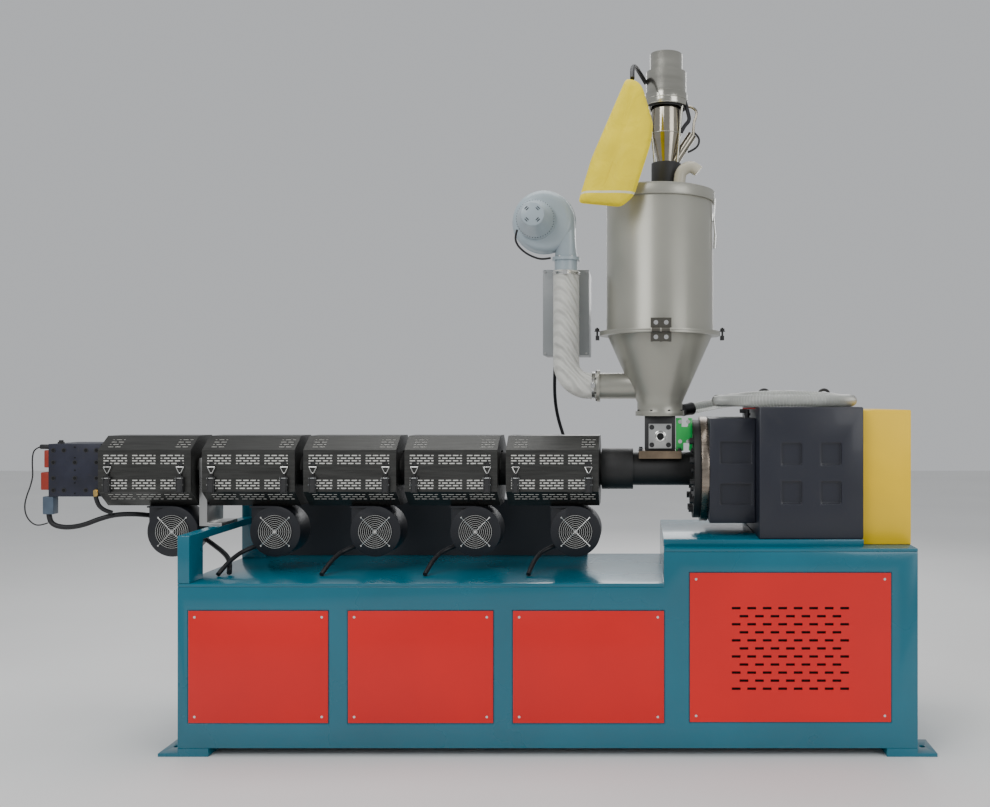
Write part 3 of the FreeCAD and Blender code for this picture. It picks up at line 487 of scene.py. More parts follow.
HEAD_CABLE = [
    (-1930, -80, 831.7), (-1927, -80, 808), (-1914, -80, 792), (-1890, -80, 783),
    (-1850, -80, 780), (-1795, -80, 790), (-1745, -72, 811), (-1690, -58, 827),
    (-1630, -25, 826), (-1582, 34, 812), (-1528, 70, 790), (-1465, 74, 760),
    (-1405, 66, 724), (-1350, 40, 695), (-1300, 0, 676), (-1255, -55, 660),
    (-1225, -115, 644), (-1200, -180, 625)]
BLOCK_CABLE = [(-1736, -109, 902.6), (-1733, -104, 876), (-1722, -96, 856),
               (-1707, -85, 843), (-1692, -73, 836)]
SENSOR_CABLE = [
    (-1956.3, -88, 1089), (-1978, -89, 1082), (-1987, -90, 1058), (-1988, -90, 1018),
    (-1985, -90, 978), (-1995, -90, 938), (-2010, -90, 900), (-2018, -90, 862),
    (-2012, -90, 826), (-1992, -90, 799), (-1963, -89, 786), (-1932, -85, 798)]
FAN_CABLE = [(-82, -50, 706), (-122, -70, 692), (-144, -110, 673), (-158, -158, 650),
             (-167, -206, 622.7)]
BOX_CABLE = [
    (-20, 200, 1442.4), (-21, 206, 1398), (-25, 232, 1346), (-28, 270, 1296),
    (-26, 302, 1240), (-15, 316, 1180), (4, 322, 1120), (18, 324, 1060), (23, 325, 1000),
    (20, 325, 940), (14, 325, 890), (10, 325, 850.6)]
DRYER_CABLE = [(-136, -120, 1911), (-147, -114, 1884), (-138, -102, 1854), (-110, -88, 1828),
               (-76, -76, 1812), (-45, -64, 1806), (-16.5, -50, 1814)]
BAG_PIPE = [(351.4, -6, 2500), (337, -20, 2520), (322, -60, 2531), (311, -115, 2528),
            (303, -170, 2512), (299, -218, 2482), (300, -245, 2443)]
HOSE_END = [(782, 260, 1266), (690, 247, 1261), (592, 204, 1242), (500, 140, 1226)]
COIL_CENTRE = (888, 0)
COIL_LEVEL = 1265
COIL_INNER = 168  # middle radius of the inmost turn
TURN_STEP = 46
SPLINE_SLACK = 1.008  # a NURBS line cuts a little inside its points
FAN_CENTRES = (-1456, -1064, -682, -300, 82)


def smooth_step(t):
    t = min(1, max(0, t))
    return t * t * (3 - 2 * t)


def coil_points():
    """Three turns beside each other, from the inner end to where the free end starts."""
    points = []
    degrees = 100.0
    while degrees <= 90 + 3 * 360 - 12:
        step_one = smooth_step((degrees - 400) / 60)
        step_two = smooth_step((degrees - 760) / 60)
        radius = (COIL_INNER + TURN_STEP * (step_one + step_two)) * SPLINE_SLACK
        lift = 16 * math.exp(-((degrees - 620) / 60) ** 2)
        a = math.radians(degrees)
        points.append((COIL_CENTRE[0] + radius * math.cos(a),
                       COIL_CENTRE[1] + radius * math.sin(a), COIL_LEVEL + lift))
        degrees += 22.5
    return points


def line_of(obj):
    """Points along a curve's own line."""
    bare = obj.copy()
    bare.data = obj.data.copy()
    bare.data.bevel_depth = 0
    bare.parent = None
    link(bare)
    bpy.context.view_layer.update()
    depsgraph = bpy.context.evaluated_depsgraph_get()
    mesh = bpy.data.meshes.new_from_object(bare.evaluated_get(depsgraph))
    points = [v.co.copy() for v in mesh.vertices]
    bpy.data.objects.remove(bare)
    bpy.data.meshes.remove(mesh)
    return points


def helix_along(points, radius, pitch, wire, steps=12):
    """A wire wound round a line, as a square-section mesh."""
    bm = bmesh.new()
    walked, last_ring, turn = 0.0, None, 0.0
    normal = Vector((0, 0, 1))
    ends = [0.0]
    for a, b in zip(points, points[1:]):
        ends.append(ends[-1] + (b - a).length)
    total, index = ends[-1], 0
    step = pitch / steps
    while walked < total:
        while index < len(points) - 2 and ends[index + 1] < walked:
            index += 1
        a, b = points[index], points[index + 1]
        tangent = (b - a).normalized()
        here = a + tangent * (walked - ends[index])
        normal = (normal - tangent * normal.dot(tangent)).normalized()
        side = tangent.cross(normal)
        out = normal * math.cos(turn) + side * math.sin(turn)
        spot = here + out * radius
        ring = [bm.verts.new(spot + out * u * wire + tangent * v * wire)
                for u, v in ((1, 0), (0, 1), (-1, 0), (0, -1))]
        if last_ring:
            for k in range(4):
                bm.faces.new((last_ring[k], ring[k], ring[(k + 1) % 4], last_ring[(k + 1) % 4]))
        last_ring = ring
        walked += step
        turn += 2 * math.pi / steps
    return bm


def make_cords():
    head = curve("head_lead", HEAD_CABLE, 19, "rubber", BASE, ["head_cable"])
    mm(*HEAD_CABLE[0])
    block = curve("block_lead", BLOCK_CABLE, 16, "rubber", BASE, ["block_cable"])
    mm(*BLOCK_CABLE[0])
    sensor = curve("sensor_lead", SENSOR_CABLE, 5, "rubber", BASE, ["sensor_cable"])
    mm(*SENSOR_CABLE[0])
    for i, centre in enumerate(FAN_CENTRES[1:], start=2):
        points = [(centre + x, y, z) for x, y, z in FAN_CABLE]
        lead = curve(f"fan_lead_{i}", points, 17, "rubber", BASE, ["fan_cables"])
        mm(*points[0])
    box = curve("box_lead", BOX_CABLE, 14, "rubber", BASE, ["box_cable"])
    mm(*BOX_CABLE[0])
    dryer = curve("dryer_lead", DRYER_CABLE, 8, "rubber", BASE, ["dryer_cable"])
    mm(*DRYER_CABLE[0])
    curve("bag_pipe_bend", BAG_PIPE, 17, "rubber", DRUM, ["bag_pipe"])

    hose = curve("material_hose", coil_points() + HOSE_END, 44, "hose", BASE,
                 ["hose_coil", "suction_hose"])
    line = line_of(hose)
    ribs = piece("hose_spiral", helix_along(line, 0.0219, 0.0115, 0.0011), "steel", BASE,
                 smooth=False)
    end, before = mm(*HOSE_END[-1]), mm(*HOSE_END[-2])
    back = (before - end).normalized()
    cuff_mesh = bmesh.new()
    add_lathe(cuff_mesh, end, back, [(-0.001, 0.0200), (0.000, 0.0245), (0.036, 0.0245),
                                     (0.040, 0.0260), (0.048, 0.0260), (0.050, 0.0225)], 48)
    cuff = piece("hose_cuff", cuff_mesh, "rubber", BASE)
    mm(*coil_points()[0])


# ---- barrel covers
COVER_STARTS = (-1716, -1324, -942, -560, -178)
COVER_LENGTH = 350
LATCH_PLACES = (38, 312)
SLOT_LENGTH = 21
SLOT_PITCH = 27
SHORTEST_SLOT = 5
SLOPE_UP = Vector((73, 51)).normalized()
SLOPE_DOWN = Vector((73, -59)).normalized()


def slot_row(spans, row):
    """Staggered slots in each span, cut short at its ends."""
    for low, high in spans:
        x = low - (SLOT_PITCH if row % 2 == 0 else SLOT_PITCH / 2)
        while x < high:
            a, b = max(x, low), min(x + SLOT_LENGTH, high)
            if b - a > SHORTEST_SLOT:
                yield a, b
            x += SLOT_PITCH


def cover_slots(start, upper):
    bm = bmesh.new()
    front = [(19.5, 110), (128, 217), (235, 324)]
    for row, z in enumerate((1058, 1047.5, 1038, 1028) if upper else (964, 954, 944.5, 934)):
        for a, b in slot_row(front, row):
            add_box(bm, mm(start + a, -140, z - 2.2), mm(start + b, -120, z + 2.2))
    if upper:
        spans, along, corner, rows = [(29, 78), (284, 337)], SLOPE_UP, (-130, 1079), 4
    else:
        spans, along, corner, rows = ([(29, 123), (136, 230), (242, 337)], SLOPE_DOWN,
                                      (-130, 921), 3)
    across = Vector((-along.y, along.x))
    for row in range(rows):
        middle = Vector(corner) + along * (20 + 15 * row)
        for a, b in slot_row(spans, row):
            add_block(bm, mm(start + (a + b) / 2, *middle), mm((b - a) / 2, 2.6, 7),
                      along, across)
    return bm


def cut_copy(name, node, cutter, word, body):
    """A copy of a CAD node's mesh with the cutter taken away, which stands for the node."""
    source = bmesh.new()
    source.from_mesh(NODES[node].data)
    bmesh.ops.remove_doubles(source, verts=source.verts, dist=0.00001)
    data = bpy.data.meshes.new(name)
    source.to_mesh(data)
    source.free()
    data.materials.clear()
    data.materials.append(MATERIALS[word])
    tool_data = bpy.data.meshes.new(name + "_tool")
    cutter.to_mesh(tool_data)
    cutter.free()
    tool = bpy.data.objects.new(name + "_tool", tool_data)
    obj = bpy.data.objects.new(name, data)
    for o in (tool, obj):
        link(o)
    boolean = obj.modifiers.new("slots", "BOOLEAN")
    boolean.operation, boolean.object, boolean.solver = "DIFFERENCE", tool, "EXACT"
    bpy.context.view_layer.update()
    depsgraph = bpy.context.evaluated_depsgraph_get()
    made = bpy.data.meshes.new_from_object(obj.evaluated_get(depsgraph))
    obj.modifiers.clear()
    obj.data = made
    bpy.data.objects.remove(tool)
    made.shade_smooth()
    sharpen(obj, 30)
    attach(obj, body)
    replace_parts(obj, node)


def strip(bm, start, end, profile):
    """A bent sheet between two X places along a profile of (Y, Z)."""
    rows = [[bm.verts.new(mm(x, y, z)) for y, z in profile] for x in (start, end)]
    for k in range(len(profile) - 1):
        bm.faces.new((rows[0][k], rows[1][k], rows[1][k + 1], rows[0][k + 1]))


def make_covers():
    lower_cuts = bmesh.new()
    for start in COVER_STARTS:
        part = cover_slots(start, False)
        data = bpy.data.meshes.new("tmp")
        part.to_mesh(data)
        part.free()
        lower_cuts.from_mesh(data)
    cut_copy("lower_covers_slotted", "lower_covers", lower_cuts, "cover", BASE)
    # glowing white sheets behind the lower slots: painted light seen through them
    lower_slot_glow = bmesh.new()
    for i, start in enumerate(COVER_STARTS, start=1):
        body = f"cover_{i}"
        cut_copy(f"upper_cover_{i}_slotted", f"upper_cover_{i}", cover_slots(start, True),
                 "cover", body)
        bm = bmesh.new()
        # a glowing white sheet behind the upper slots: painted light seen through them
        strip(bm, start + 5, start + COVER_LENGTH - 5, [(-123, 1004), (-123, 1075), (-57, 1121)])
        piece(f"cover_{i}_liner", bm, "slot_glow", body)
        strip(lower_slot_glow, start + 5, start + COVER_LENGTH - 5,
              [(-123, 996), (-123, 924), (-57, 871)])
    piece("lower_cover_slot_glows", lower_slot_glow, "slot_glow", BASE)
    make_latches()


def make_latches():
    rings, levers, pins = bmesh.new(), bmesh.new(), bmesh.new()
    for i, start in enumerate(COVER_STARTS, start=1):
        hooks = bmesh.new()
        for x in (start + place for place in LATCH_PLACES):
            corners = [(x - 14, 1015), (x - 3, 992), (x + 3, 992), (x + 14, 1015)]
            for a, b in zip(corners, corners[1:] + corners[:1]):
                add_rod(rings, mm(a[0], -137, a[1]), mm(b[0], -137, b[1]), 0.0017, 8)
            for side in (-1, 1):
                add_rod(levers, mm(x + side * 2.5, -137, 994), mm(x + side * 2.5, -138, 972),
                        0.0018, 8)
                add_box(levers, mm(x + side * 11 - 2, -146, 926),
                        mm(x + side * 11 + 2, -140, 980))
            add_rod(pins, mm(x - 15, -143, 973), mm(x + 15, -143, 973), 0.0022, 10)
            add_rod(pins, mm(x - 15, -143, 948), mm(x + 15, -143, 948), 0.0022, 10)
            add_box(levers, mm(x - 8, -146, 922), mm(x + 8, -141, 966))
            add_ring(hooks, mm(x, -134, 1026), 0.0085, 0.0016, (0, 1, 0), 20, 6)
            add_box(hooks, mm(x - 7, -132.5, 1018), mm(x + 7, -130.2, 1034))
        piece(f"cover_{i}_hooks", hooks, "iron", f"cover_{i}")
    piece("latch_rings", rings, "bright", BASE)
    piece("latch_levers", levers, "iron", BASE)
    piece("latch_pins", pins, "bright", BASE)


# ---- barrel fans
def make_fans():
    guard, dark, screws = bmesh.new(), bmesh.new(), bmesh.new()
    for x in FAN_CENTRES:
        # painted shade: a near-black disc behind each guard for the shaded fan mouth
        add_cylinder(dark, mm(x, -86, FAN_Z), 0.064, 0.003, (0, -1, 0), 48)
        for k in range(8):
            add_ring(guard, mm(x, -90 - 0.35 * (7 - k), FAN_Z), (9 + k * 7.6) * MM, 0.0013,
                     (0, 1, 0), 48, 6)
        for k in range(4):
            a = math.radians(45 + 90 * k)
            u, v = math.cos(a), math.sin(a)
            add_rod(guard, mm(x + 7 * u, -92, FAN_Z + 7 * v),
                    mm(x + 76 * u, -88.5, FAN_Z + 76 * v), 0.0014, 8)
            add_screw(screws, mm(x + 76 * u, -85, FAN_Z + 76 * v), (0, -1, 0), 0.0032, 0.004,
                      12)
        add_cylinder(guard, mm(x, -92, FAN_Z), 0.006, 0.003, (0, -1, 0), 24)
    piece("fan_guards", guard, "bright", BASE)
    piece("fan_mouth_shade", dark, "hole_shade", BASE)
    piece("fan_screws", screws, "bright", BASE)


# ---- frame, head and feed zone
def make_base_detail():
    screws = bmesh.new()
    for left, right in ((-1276, -780), (-709, -194), (-123, 413)):
        for side, y in ((-1, -350), (1, 350)):
            for x in (left + 22, right - 22):
                for z in (142, 496):
                    add_screw(screws, mm(x, y - side * 0.4, z), (0, side, 0), 0.0045, 0.0015, 16)
    for x in (527, 1197):
        for z in (146, 631):
            add_screw(screws, mm(x, -349.6, z), (0, -1, 0), 0.0045, 0.0015, 16)
    piece("panel_screws", screws, "bright", BASE)

    # painted shade: a near-black sheet just behind the vent panel, where shade falls inside
    dark = bmesh.new()
    low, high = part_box("vent_panel")
    add_box(dark, (low.x + 0.012, low.y + 0.009, low.z + 0.012),
            (high.x - 0.012, low.y + 0.011, high.z - 0.012))
    piece("vent_shade", dark, "hole_shade", BASE)

    bolts = bmesh.new()
    for place in circle_places(mm(FLANGE_X, 0, AXIS_Z), 0.158, 12, "x", 15):
        add_screw(bolts, place, (-1, 0, 0), 0.0125, 0.016, 6, 0.017)
    for place in circle_places(mm(FLANGE_X, 0, AXIS_Z), 0.105, 8, "x", 0):
        add_screw(bolts, place, (-1, 0, 0), 0.008, 0.009, 20)
    piece("barrel_flange_bolts", bolts, "iron", BASE)


def part_copy(name, node, wanted, word, body):
    """The loose parts of a CAD node whose middle passes a test, as a piece of their own."""
    source = bmesh.new()
    source.from_mesh(NODES[node].data)
    bmesh.ops.remove_doubles(source, verts=source.verts, dist=0.00001)
    left = set(source.verts)
    drop = []
    while left:
        island, edge = set(), [left.pop()]
        while edge:
            v = edge.pop()
            island.add(v)
            for e in v.link_edges:
                other = e.other_vert(v)
                if other in left:
                    left.discard(other)
                    edge.append(other)
        middle = sum((v.co for v in island), Vector()) / len(island)
        if not wanted(middle / MM):
            drop += island
    bmesh.ops.delete(source, geom=drop, context="VERTS")
    obj = piece(name, source, word, body)
    obj.modifiers.clear()
    soften(obj, 3, 3)
    sharpen(obj, 32)
    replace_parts(obj, node)


def make_head_detail():
    part_copy("head_connectors", "head_fittings",
              lambda c: c.x < -1900 and 915 < c.z < 1080, "connector", BASE)
    part_copy("head_cable_plug", "head_fittings",
              lambda c: c.x < -1900 and c.z <= 915, "blue_grey", BASE)
    part_copy("head_sensor", "head_fittings",
              lambda c: c.x < -1900 and c.z >= 1080, "rubber", BASE)
    part_copy("head_side_fitting", "head_fittings",
              lambda c: c.x >= -1900, "brass", BASE)
    socket_shades, rims, brass = bmesh.new(), bmesh.new(), bmesh.new()
    # each screw: an iron rim and a near-black hex disc of painted shade in its socket; small
    # round discs down the middle are painted shade in holes
    for row, z in enumerate((1076, 1030, 970, 924)):
        for x in (-1902, -1862, -1778, -1738) if row in (0, 3) else (-1902, -1820, -1738):
            add_cylinder(rims, mm(x, -100, z), 0.0088, 0.0022, (0, -1, 0), 24)
            add_cylinder(socket_shades, mm(x, -100.6, z), 0.0066, 0.0024, (0, -1, 0), 6)
    for z in (1088, 1048, 1000, 952, 912):
        add_cylinder(socket_shades, mm(-1820, -100.3, z), 0.003, 0.0022, (0, -1, 0), 16)
    piece("head_screws", rims, "iron", BASE)
    piece("head_socket_shades", socket_shades, "hole_shade", BASE)

    add_cylinder(brass, mm(GLAND_X, -104, 918), 0.011, 0.009, (0, -1, 0), 6)
    add_cylinder(brass, mm(GLAND_X, -109, 918), 0.007, 0.008, (0, -1, 0), 20)
    add_cylinder(brass, mm(GLAND_X, -108, 905), 0.0085, 0.010, (0, 0, 1), 20)
    piece("head_gland", brass, "brass", BASE)

    caps = bmesh.new()
    add_cylinder(caps, mm(-1895, -60, 1103), 0.012, 0.007, (0, 0, 1), 6)
    add_cylinder(caps, mm(-1895, -60, 1109), 0.008, 0.008, (0, 0, 1), 24)
    piece("head_top_cap", caps, "iron", BASE)


def make_feed_detail():
    bolts = bmesh.new()
    for u in (-32, 32):
        for z in (1095, 1163):
            add_screw(bolts, mm(HOPPER_X + u, -71, z), (0, -1, 0), 0.0068, 0.007, 6, 0.0095)
    for x in (331, 479):
        for y in (-68, 68):
            add_screw(bolts, mm(x, y, 1072), (0, 0, 1), 0.008, 0.010, 6, 0.011)
    piece("feed_bolts", bolts, "iron", BASE)
    rim = bmesh.new()
    add_ring(rim, mm(HOPPER_X, -120.3, PORT_Z), 0.0155, 0.0017, (0, -1, 0), 48, 8)
    add_ring(rim, mm(HOPPER_X, -75, PORT_Z), 0.0195, 0.003, (0, -1, 0), 48, 8)
    piece("port_rims", rim, "bright", BASE)
    # painted shade: a near-black disc inside the port rim for the shaded opening
    mouth = bmesh.new()
    add_cylinder(mouth, mm(HOPPER_X, -121.1, PORT_Z), 0.0132, 0.0006, (0, -1, 0), 32)
    piece("port_mouth_shade", mouth, "hole_shade", BASE)
    guard = bmesh.new()
    for x, z in ((482, 1184), (513, 1184), (482, 1108), (513, 1108)):
        add_screw(guard, mm(x, -57, z), (0, -1, 0), 0.005, 0.004, 16, 0.0078)
    piece("guard_screws", guard, "bright", BASE)


# ---- hopper, loader and hot air
def make_hopper_detail():
    neck = bmesh.new()
    for place in circle_places(mm(HOPPER_X, 0, 1225), 0.0905, 8, "z", 22.5):
        add_screw(neck, place, (0, 0, 1), 0.0045, 0.005, 6)
    piece("neck_bolts", neck, "iron", BASE)

    fixed, moving = bmesh.new(), bmesh.new()
    for side in (-1, 1):
        x = HOPPER_X + side * 236
        add_box(fixed, mm(min(x, x + side * 14), -13, 1500), mm(max(x, x + side * 14), -8, 1517))
        add_box(fixed, mm(min(x, x + side * 14), 8, 1500), mm(max(x, x + side * 14), 13, 1517))
        add_rod(fixed, mm(x + side * 8, -14, 1508), mm(x + side * 8, 14, 1508), 0.004, 14)
        add_rod(fixed, mm(x + side * 8, 0, 1508), mm(x + side * 8, 0, 1549), 0.0038, 14)
        add_cylinder(fixed, mm(x + side * 8, 0, 1541), 0.0095, 0.009, (0, 0, 1), 6)
        add_cylinder(fixed, mm(x + side * 8, 0, 1535), 0.011, 0.003, (0, 0, 1), 24)
    piece("swing_clamps", fixed, "iron", BASE)
    still = bmesh.new()
    leaf, under = bmesh.new(), bmesh.new()
    for bm, heads, low, high in ((leaf, moving, 1534, 1569), (under, still, 1482, 1514)):
        add_box(bm, mm(367, -239, low), mm(443, -235, high))
        for x in (369, 403, 437):
            add_box(bm, mm(x, -236, low), mm(x + 4, -200 if low > 1500 else -188, high))
        for u in (-19, 19):
            add_screw(heads, mm(HOPPER_X + u, -239, (low + high) / 2), (0, -1, 0), 0.0055,
                      0.004, 6, 0.0085)
    for x in (371, 407):
        add_rod(leaf, mm(x, -246, 1524), mm(x + 30, -246, 1524), 0.0085, 20)
    piece("upper_hinge_leaf", leaf, "heat_dark", DRUM)
    piece("lower_hinge_leaf", under, "heat_dark", BASE)
    piece("upper_hinge_bolts", moving, "bright", DRUM)
    piece("lower_hinge_bolts", still, "bright", BASE)

    latch = bmesh.new()
    a = math.radians(-14)
    out = Vector((math.cos(a), math.sin(a), 0))
    across = Vector((-out.y, out.x, 0))
    foot = mm(HOPPER_X, 0, 0)

    def spot(radius, aside, z):
        return foot + out * radius * MM + across * aside * MM + Vector((0, 0, z * MM))

    add_rod(latch, spot(209, -9, 1955), spot(209, -9, 1983), 0.003)
    add_rod(latch, spot(209, 9, 1955), spot(209, 9, 1983), 0.003)
    add_rod(latch, spot(212, -11, 1969), spot(212, 11, 1969), 0.0045, 14)
    for aside in (-7, 7):
        add_rod(latch, spot(214, aside, 1969), spot(219, aside, 2042), 0.0018)
    add_rod(latch, spot(219, -7, 2042), spot(219, 7, 2042), 0.0018)
    add_rod(latch, spot(213, 0, 1973), spot(220, 0, 1900), 0.0052, 14)
    add_rod(latch, spot(220, 0, 1900), spot(217, 0, 1850), 0.0065, 14)
    piece("lid_toggle", latch, "bright", DRUM)

    rim = bmesh.new()
    add_ring(rim, mm(HOPPER_X, 0, 2071), 0.2125, 0.0022, (0, 0, 1), 96, 8)
    add_ring(rim, mm(HOPPER_X, 0, 2033), 0.2135, 0.0016, (0, 0, 1), 96, 8)
    piece("lid_rims", rim, "hopper", DRUM)

    inlet = bmesh.new()
    for place in circle_places(mm(160, 0, INLET_Z), 0.055, 6, "x", 30):
        add_screw(inlet, place, (-1, 0, 0), 0.004, 0.005, 6)
    piece("inlet_bolts", inlet, "iron", BASE)
    clamps = bmesh.new()
    add_ring(clamps, mm(DUCT_X, 0, 1762), 0.0525, 0.0028, (0, 0, 1), 64, 6)
    add_ring(clamps, mm(DUCT_X, 0, 1756), 0.0525, 0.0028, (0, 0, 1), 64, 6)
    add_ring(clamps, mm(150, 0, INLET_Z), 0.0525, 0.0028, (1, 0, 0), 64, 6)
    add_ring(clamps, mm(144, 0, INLET_Z), 0.0525, 0.0028, (1, 0, 0), 64, 6)
    add_box(clamps, mm(32, -62, 1751), mm(48, -54, 1767))
    add_box(clamps, mm(139, -62, 1314), mm(155, -54, 1330))
    piece("duct_clamps", clamps, "bright", BASE)


def pipe(name, points, diameter, word):
    """A rigid bent pipe on the drum."""
    curve(name, points, diameter, word, DRUM)


def make_loader_detail():
    bands, dark, rods = bmesh.new(), bmesh.new(), bmesh.new()
    for z, radius in ((2457, 80.5), (2409, 81.5), (2431, 82)):
        add_ring(bands, mm(LOADER_X, 0, z), radius * MM, 0.0016, (0, 0, 1), 64, 8)
    add_ring(bands, mm(LOADER_X, 0, 2301), 0.0588, 0.0016, (0, 0, 1), 64, 8)
    add_ring(bands, mm(LOADER_X, 0, 2187), 0.0365, 0.003, (0, 0, 1), 48, 8)
    add_ring(dark, mm(LOADER_X, 0, 2544), 0.0625, 0.0022, (0, 0, 1), 64, 6)
    add_ring(dark, mm(LOADER_X, 0, 2404), 0.0740, 0.0040, (0, 0, 1), 64, 6)
    for k in range(3):
        a = math.radians(205 + 120 * k)
        out = Vector((math.cos(a), math.sin(a), 0))
        low, middle, high = (mm(LOADER_X, 0, z) + out * radius
                             for z, radius in ((2182, 0.050), (2300, 0.062), (2404, 0.074)))
        add_rod(rods, low, middle, 0.005, 12)
        add_rod(rods, middle, high, 0.005, 12)
    piece("loader_bands", bands, "stainless", DRUM)
    piece("loader_gaskets", dark, "rubber", DRUM)
    piece("loader_struts", rods, "stainless", DRUM)
    pipe("loader_inlet_pipe", [(532, -6, 2300), (500, -6, 2252), (462, -6, 2192)], 36,
         "polished")
    pipe("loader_air_line", [(503, -20, 2424), (513, -24, 2384), (521, -26, 2350),
                             (499, -30, 2328), (487, -32, 2302)], 15, "rubber")
    pipe("loader_drain_pipe", [(516, -14, 2408), (534, -18, 2402), (549, -20, 2386),
                               (545, -20, 2364), (535, -20, 2340), (535, -18, 2292)], 11,
         "polished")
    pipe("loader_loop_pipe", [(536, -18, 2306), (556, -20, 2290), (558, -20, 2262),
                              (541, -20, 2240), (514, -14, 2230)], 8, "rubber")
    pipe("lid_vent_elbow", [(478, -70, 2074), (479, -70, 2112), (486, -70, 2142),
                            (512, -70, 2160), (536, -70, 2157), (552, -70, 2142)], 46, "beige")


def make_dryer_detail():
    bits, dark, shell, motor = bmesh.new(), bmesh.new(), bmesh.new(), bmesh.new()
    add_lathe(shell, mm(-45, 50, DRYER_Z), (0, -1, 0), [
        (0.000, 0.085), (0.002, 0.100), (0.010, 0.112), (0.025, 0.119), (0.055, 0.1215),
        (0.085, 0.119), (0.100, 0.112), (0.108, 0.100), (0.110, 0.085)], 96)
    add_loft(shell, [(mm(DUCT_X, -5, 1965), 0.0365, 0.045, 3),
                     (mm(DUCT_X, -5, 1890), 0.0365, 0.050, 3.2),
                     (mm(DUCT_X, -5, 1850), 0.040, 0.045, 2.6),
                     (mm(DUCT_X, -3, 1820), 0.045, 0.045, 2)])
    add_cylinder(shell, mm(DUCT_X, 0, 1816), 0.054, 0.012, (0, 0, 1), 64)
    add_cylinder(shell, mm(DUCT_X, 0, 1790), 0.045, 0.044, (0, 0, 1), 64)
    add_ring(shell, mm(-45, -5, DRYER_Z), 0.1212, 0.003, (0, 1, 0), 96, 8)
    scroll = piece("dryer_scroll", shell, "dryer", BASE)
    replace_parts(scroll, "dryer_blower")
    add_lathe(motor, mm(MOTOR_X, -58, DRYER_Z), (0, -1, 0), [
        (0.000, 0.075), (0.018, 0.075), (0.022, 0.072), (0.034, 0.0705), (0.060, 0.061),
        (0.084, 0.052), (0.096, 0.048), (0.124, 0.046), (0.130, 0.043), (0.132, 0.038)], 96)
    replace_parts(piece("dryer_motor_shell", motor, "dryer", BASE),
                "dryer_motor")
    # painted shade: near-black blocks in the vent slots round the motor and on its end cap
    for k in range(44):
        a = 2 * math.pi * k / 44
        out = Vector((math.cos(a), 0, math.sin(a)))
        place = Matrix.Translation(mm(MOTOR_X, -86, DRYER_Z) + out * 0.0711)
        place = place @ Matrix.Rotation(-a, 4, "Y") @ Matrix.Diagonal((0.003, 0.005, 0.0032, 1))
        bmesh.ops.create_cube(dark, size=1, matrix=place)
    for k in range(4):
        a = math.radians(45 + 90 * k)
        for radius in (0.026, 0.033):
            centre = mm(MOTOR_X, -190.2, DRYER_Z) + Vector((math.cos(a), 0, math.sin(a))) * radius
            place = Matrix.Translation(centre) @ Matrix.Rotation(-a, 4, "Y")
            place = place @ Matrix.Diagonal((0.0032, 0.001, 0.014, 1))
            bmesh.ops.create_cube(dark, size=1, matrix=place)
    piece("dryer_slot_shade", dark, "hole_shade", BASE)
    for place in circle_places(mm(DUCT_X, 0, 1822), 0.0485, 6, "z", 0):
        add_screw(bits, place, (0, 0, 1), 0.004, 0.004, 6)
    for z in (1452, 1773):
        for x in (-46, 116):
            add_screw(bits, mm(x, 50.8, z), (0, -1, 0), 0.004, 0.003, 14)
    piece("dryer_screws", bits, "steel", BASE)


def make_gearbox_detail():
    eyes = bmesh.new()
    for x in (847, 1098):
        add_cylinder(eyes, mm(x, 288, 1246), 0.012, 0.008, (0, 0, 1), 24)
        add_cylinder(eyes, mm(x, 288, 1256), 0.007, 0.018, (0, 0, 1), 16)
        add_ring(eyes, mm(x, 288, 1288), 0.0225, 0.006, (0, 1, 0), 40, 10)
    piece("lifting_eyes", eyes, "iron", BASE)
    handle, black = bmesh.new(), bmesh.new()
    add_rod(black, mm(OIL_X, OIL_Y, 1200), mm(OIL_X, OIL_Y, 1232), 0.008, 16)
    add_cylinder(black, mm(OIL_X, OIL_Y, 1214), 0.013, 0.010, (0, 0, 1), 6)
    add_rod(black, mm(OIL_X, OIL_Y, 1226), mm(700, OIL_Y, 1226), 0.0075, 16)
    piece("oil_fitting", black, "rubber", BASE)
    add_block(handle, mm(735, OIL_Y, 1236), (0.024, 0.005, 0.002), (1, 0), (0, 1))
    piece("oil_valve_handle", handle, "valve_red", BASE)


# ---- dust bag
BAG = [(277, 2444), (321, 2433), (339, 2407), (376, 2276), (368, 2206), (306, 2013),
       (259, 1972), (101, 1987), (150, 2150)]
BAG_MIDDLE = -245
BAG_HALF = 37


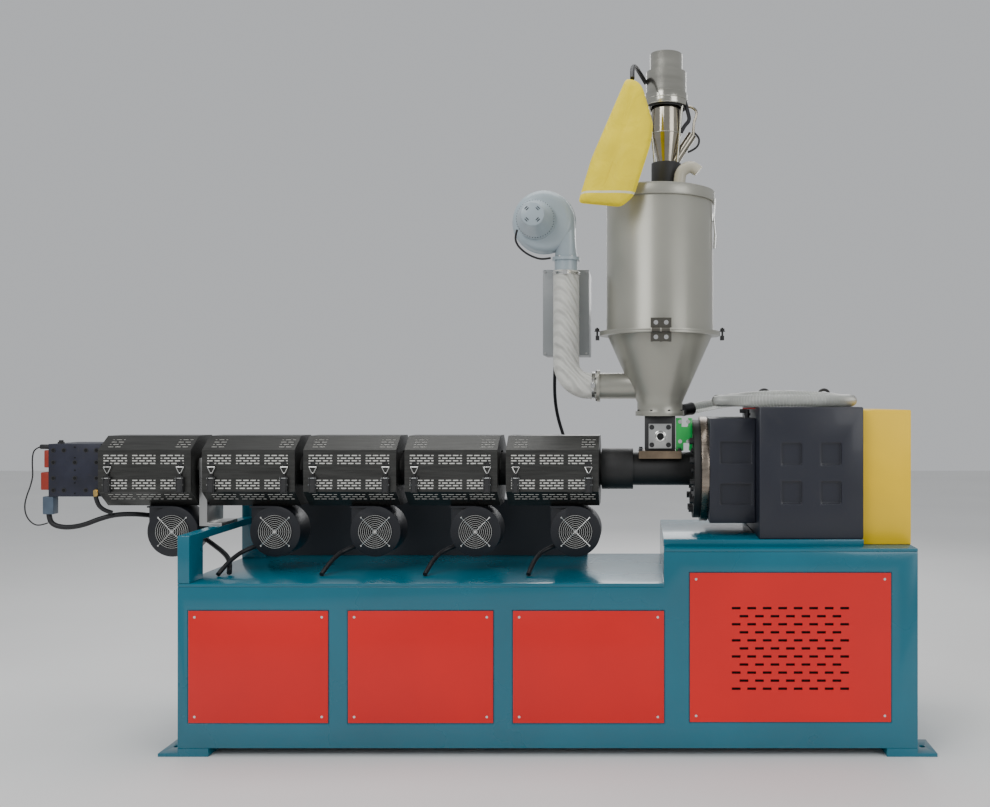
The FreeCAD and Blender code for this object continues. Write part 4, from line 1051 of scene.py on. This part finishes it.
def make_bag():
    """A slack cloth bag, shaped here: two crowned sides, a flat edge and soft folds."""
    corners = [Vector(p) for p in BAG]
    ring = []
    for k, a in enumerate(corners):
        b = corners[(k + 1) % len(corners)]
        steps = max(2, int((b - a).length / 14))
        ring += [a.lerp(b, i / steps) for i in range(steps)]
    ring = [(ring[i - 1] + 2 * p + ring[(i + 1) % len(ring)]) / 4 for i, p in enumerate(ring)]
    spine_a, spine_b = Vector((300, 2400)), Vector((215, 2040))
    bm = bmesh.new()
    levels = (1.0, 0.965, 0.93, 0.84, 0.7, 0.52, 0.32, 0.12)
    sheets = {}
    for side in (-1, 1):
        rows = []
        for u in levels:
            row = []
            for p in ring:
                t = min(1, max(0, (p - spine_a).dot(spine_b - spine_a)
                               / (spine_b - spine_a).length_squared))
                core = spine_a.lerp(spine_b, t)
                q = core.lerp(p, u)
                fill = (1 - u ** 2.6) ** 0.5 if u < 0.965 else 0.0
                sag = 0.55 + 0.45 * min(1, max(0, (2440 - q.y) / 260))
                fold = 1 + 0.10 * math.sin(q.y * 0.055 + q.x * 0.03) * (1 - abs(2 * u - 1))
                fold += 0.07 * math.sin(q.y * 0.021 - q.x * 0.06 + 1.3 * side)
                depth = 1.2 + (BAG_HALF - 3) * fill * sag * fold
                row.append(bm.verts.new(mm(q.x, BAG_MIDDLE + side * depth, q.y)))
            rows.append(row)
        count = len(ring)
        for i in range(len(rows) - 1):
            for j in range(count):
                k = (j + 1) % count
                quad = (rows[i][j], rows[i][k], rows[i + 1][k], rows[i + 1][j])
                bm.faces.new(quad if side < 0 else quad[::-1])
        bm.faces.new(rows[-1] if side < 0 else rows[-1][::-1])
        sheets[side] = rows
    front, back = sheets[-1][0], sheets[1][0]
    for j in range(len(ring)):
        k = (j + 1) % len(ring)
        bm.faces.new((front[k], front[j], back[j], back[k]))
    bmesh.ops.recalc_face_normals(bm, faces=bm.faces)
    bag = piece("dust_bag_cloth", bm, "bag", DRUM)
    bag.modifiers.clear()
    sub = bag.modifiers.new("smooth", "SUBSURF")
    sub.levels = sub.render_levels = 2
    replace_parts(bag, "dust_bag")


set_stage()
dress_nodes()
make_cords()
make_covers()
make_fans()
make_base_detail()
make_head_detail()
make_feed_detail()
make_hopper_detail()
make_loader_detail()
make_dryer_detail()
make_gearbox_detail()
make_bag()
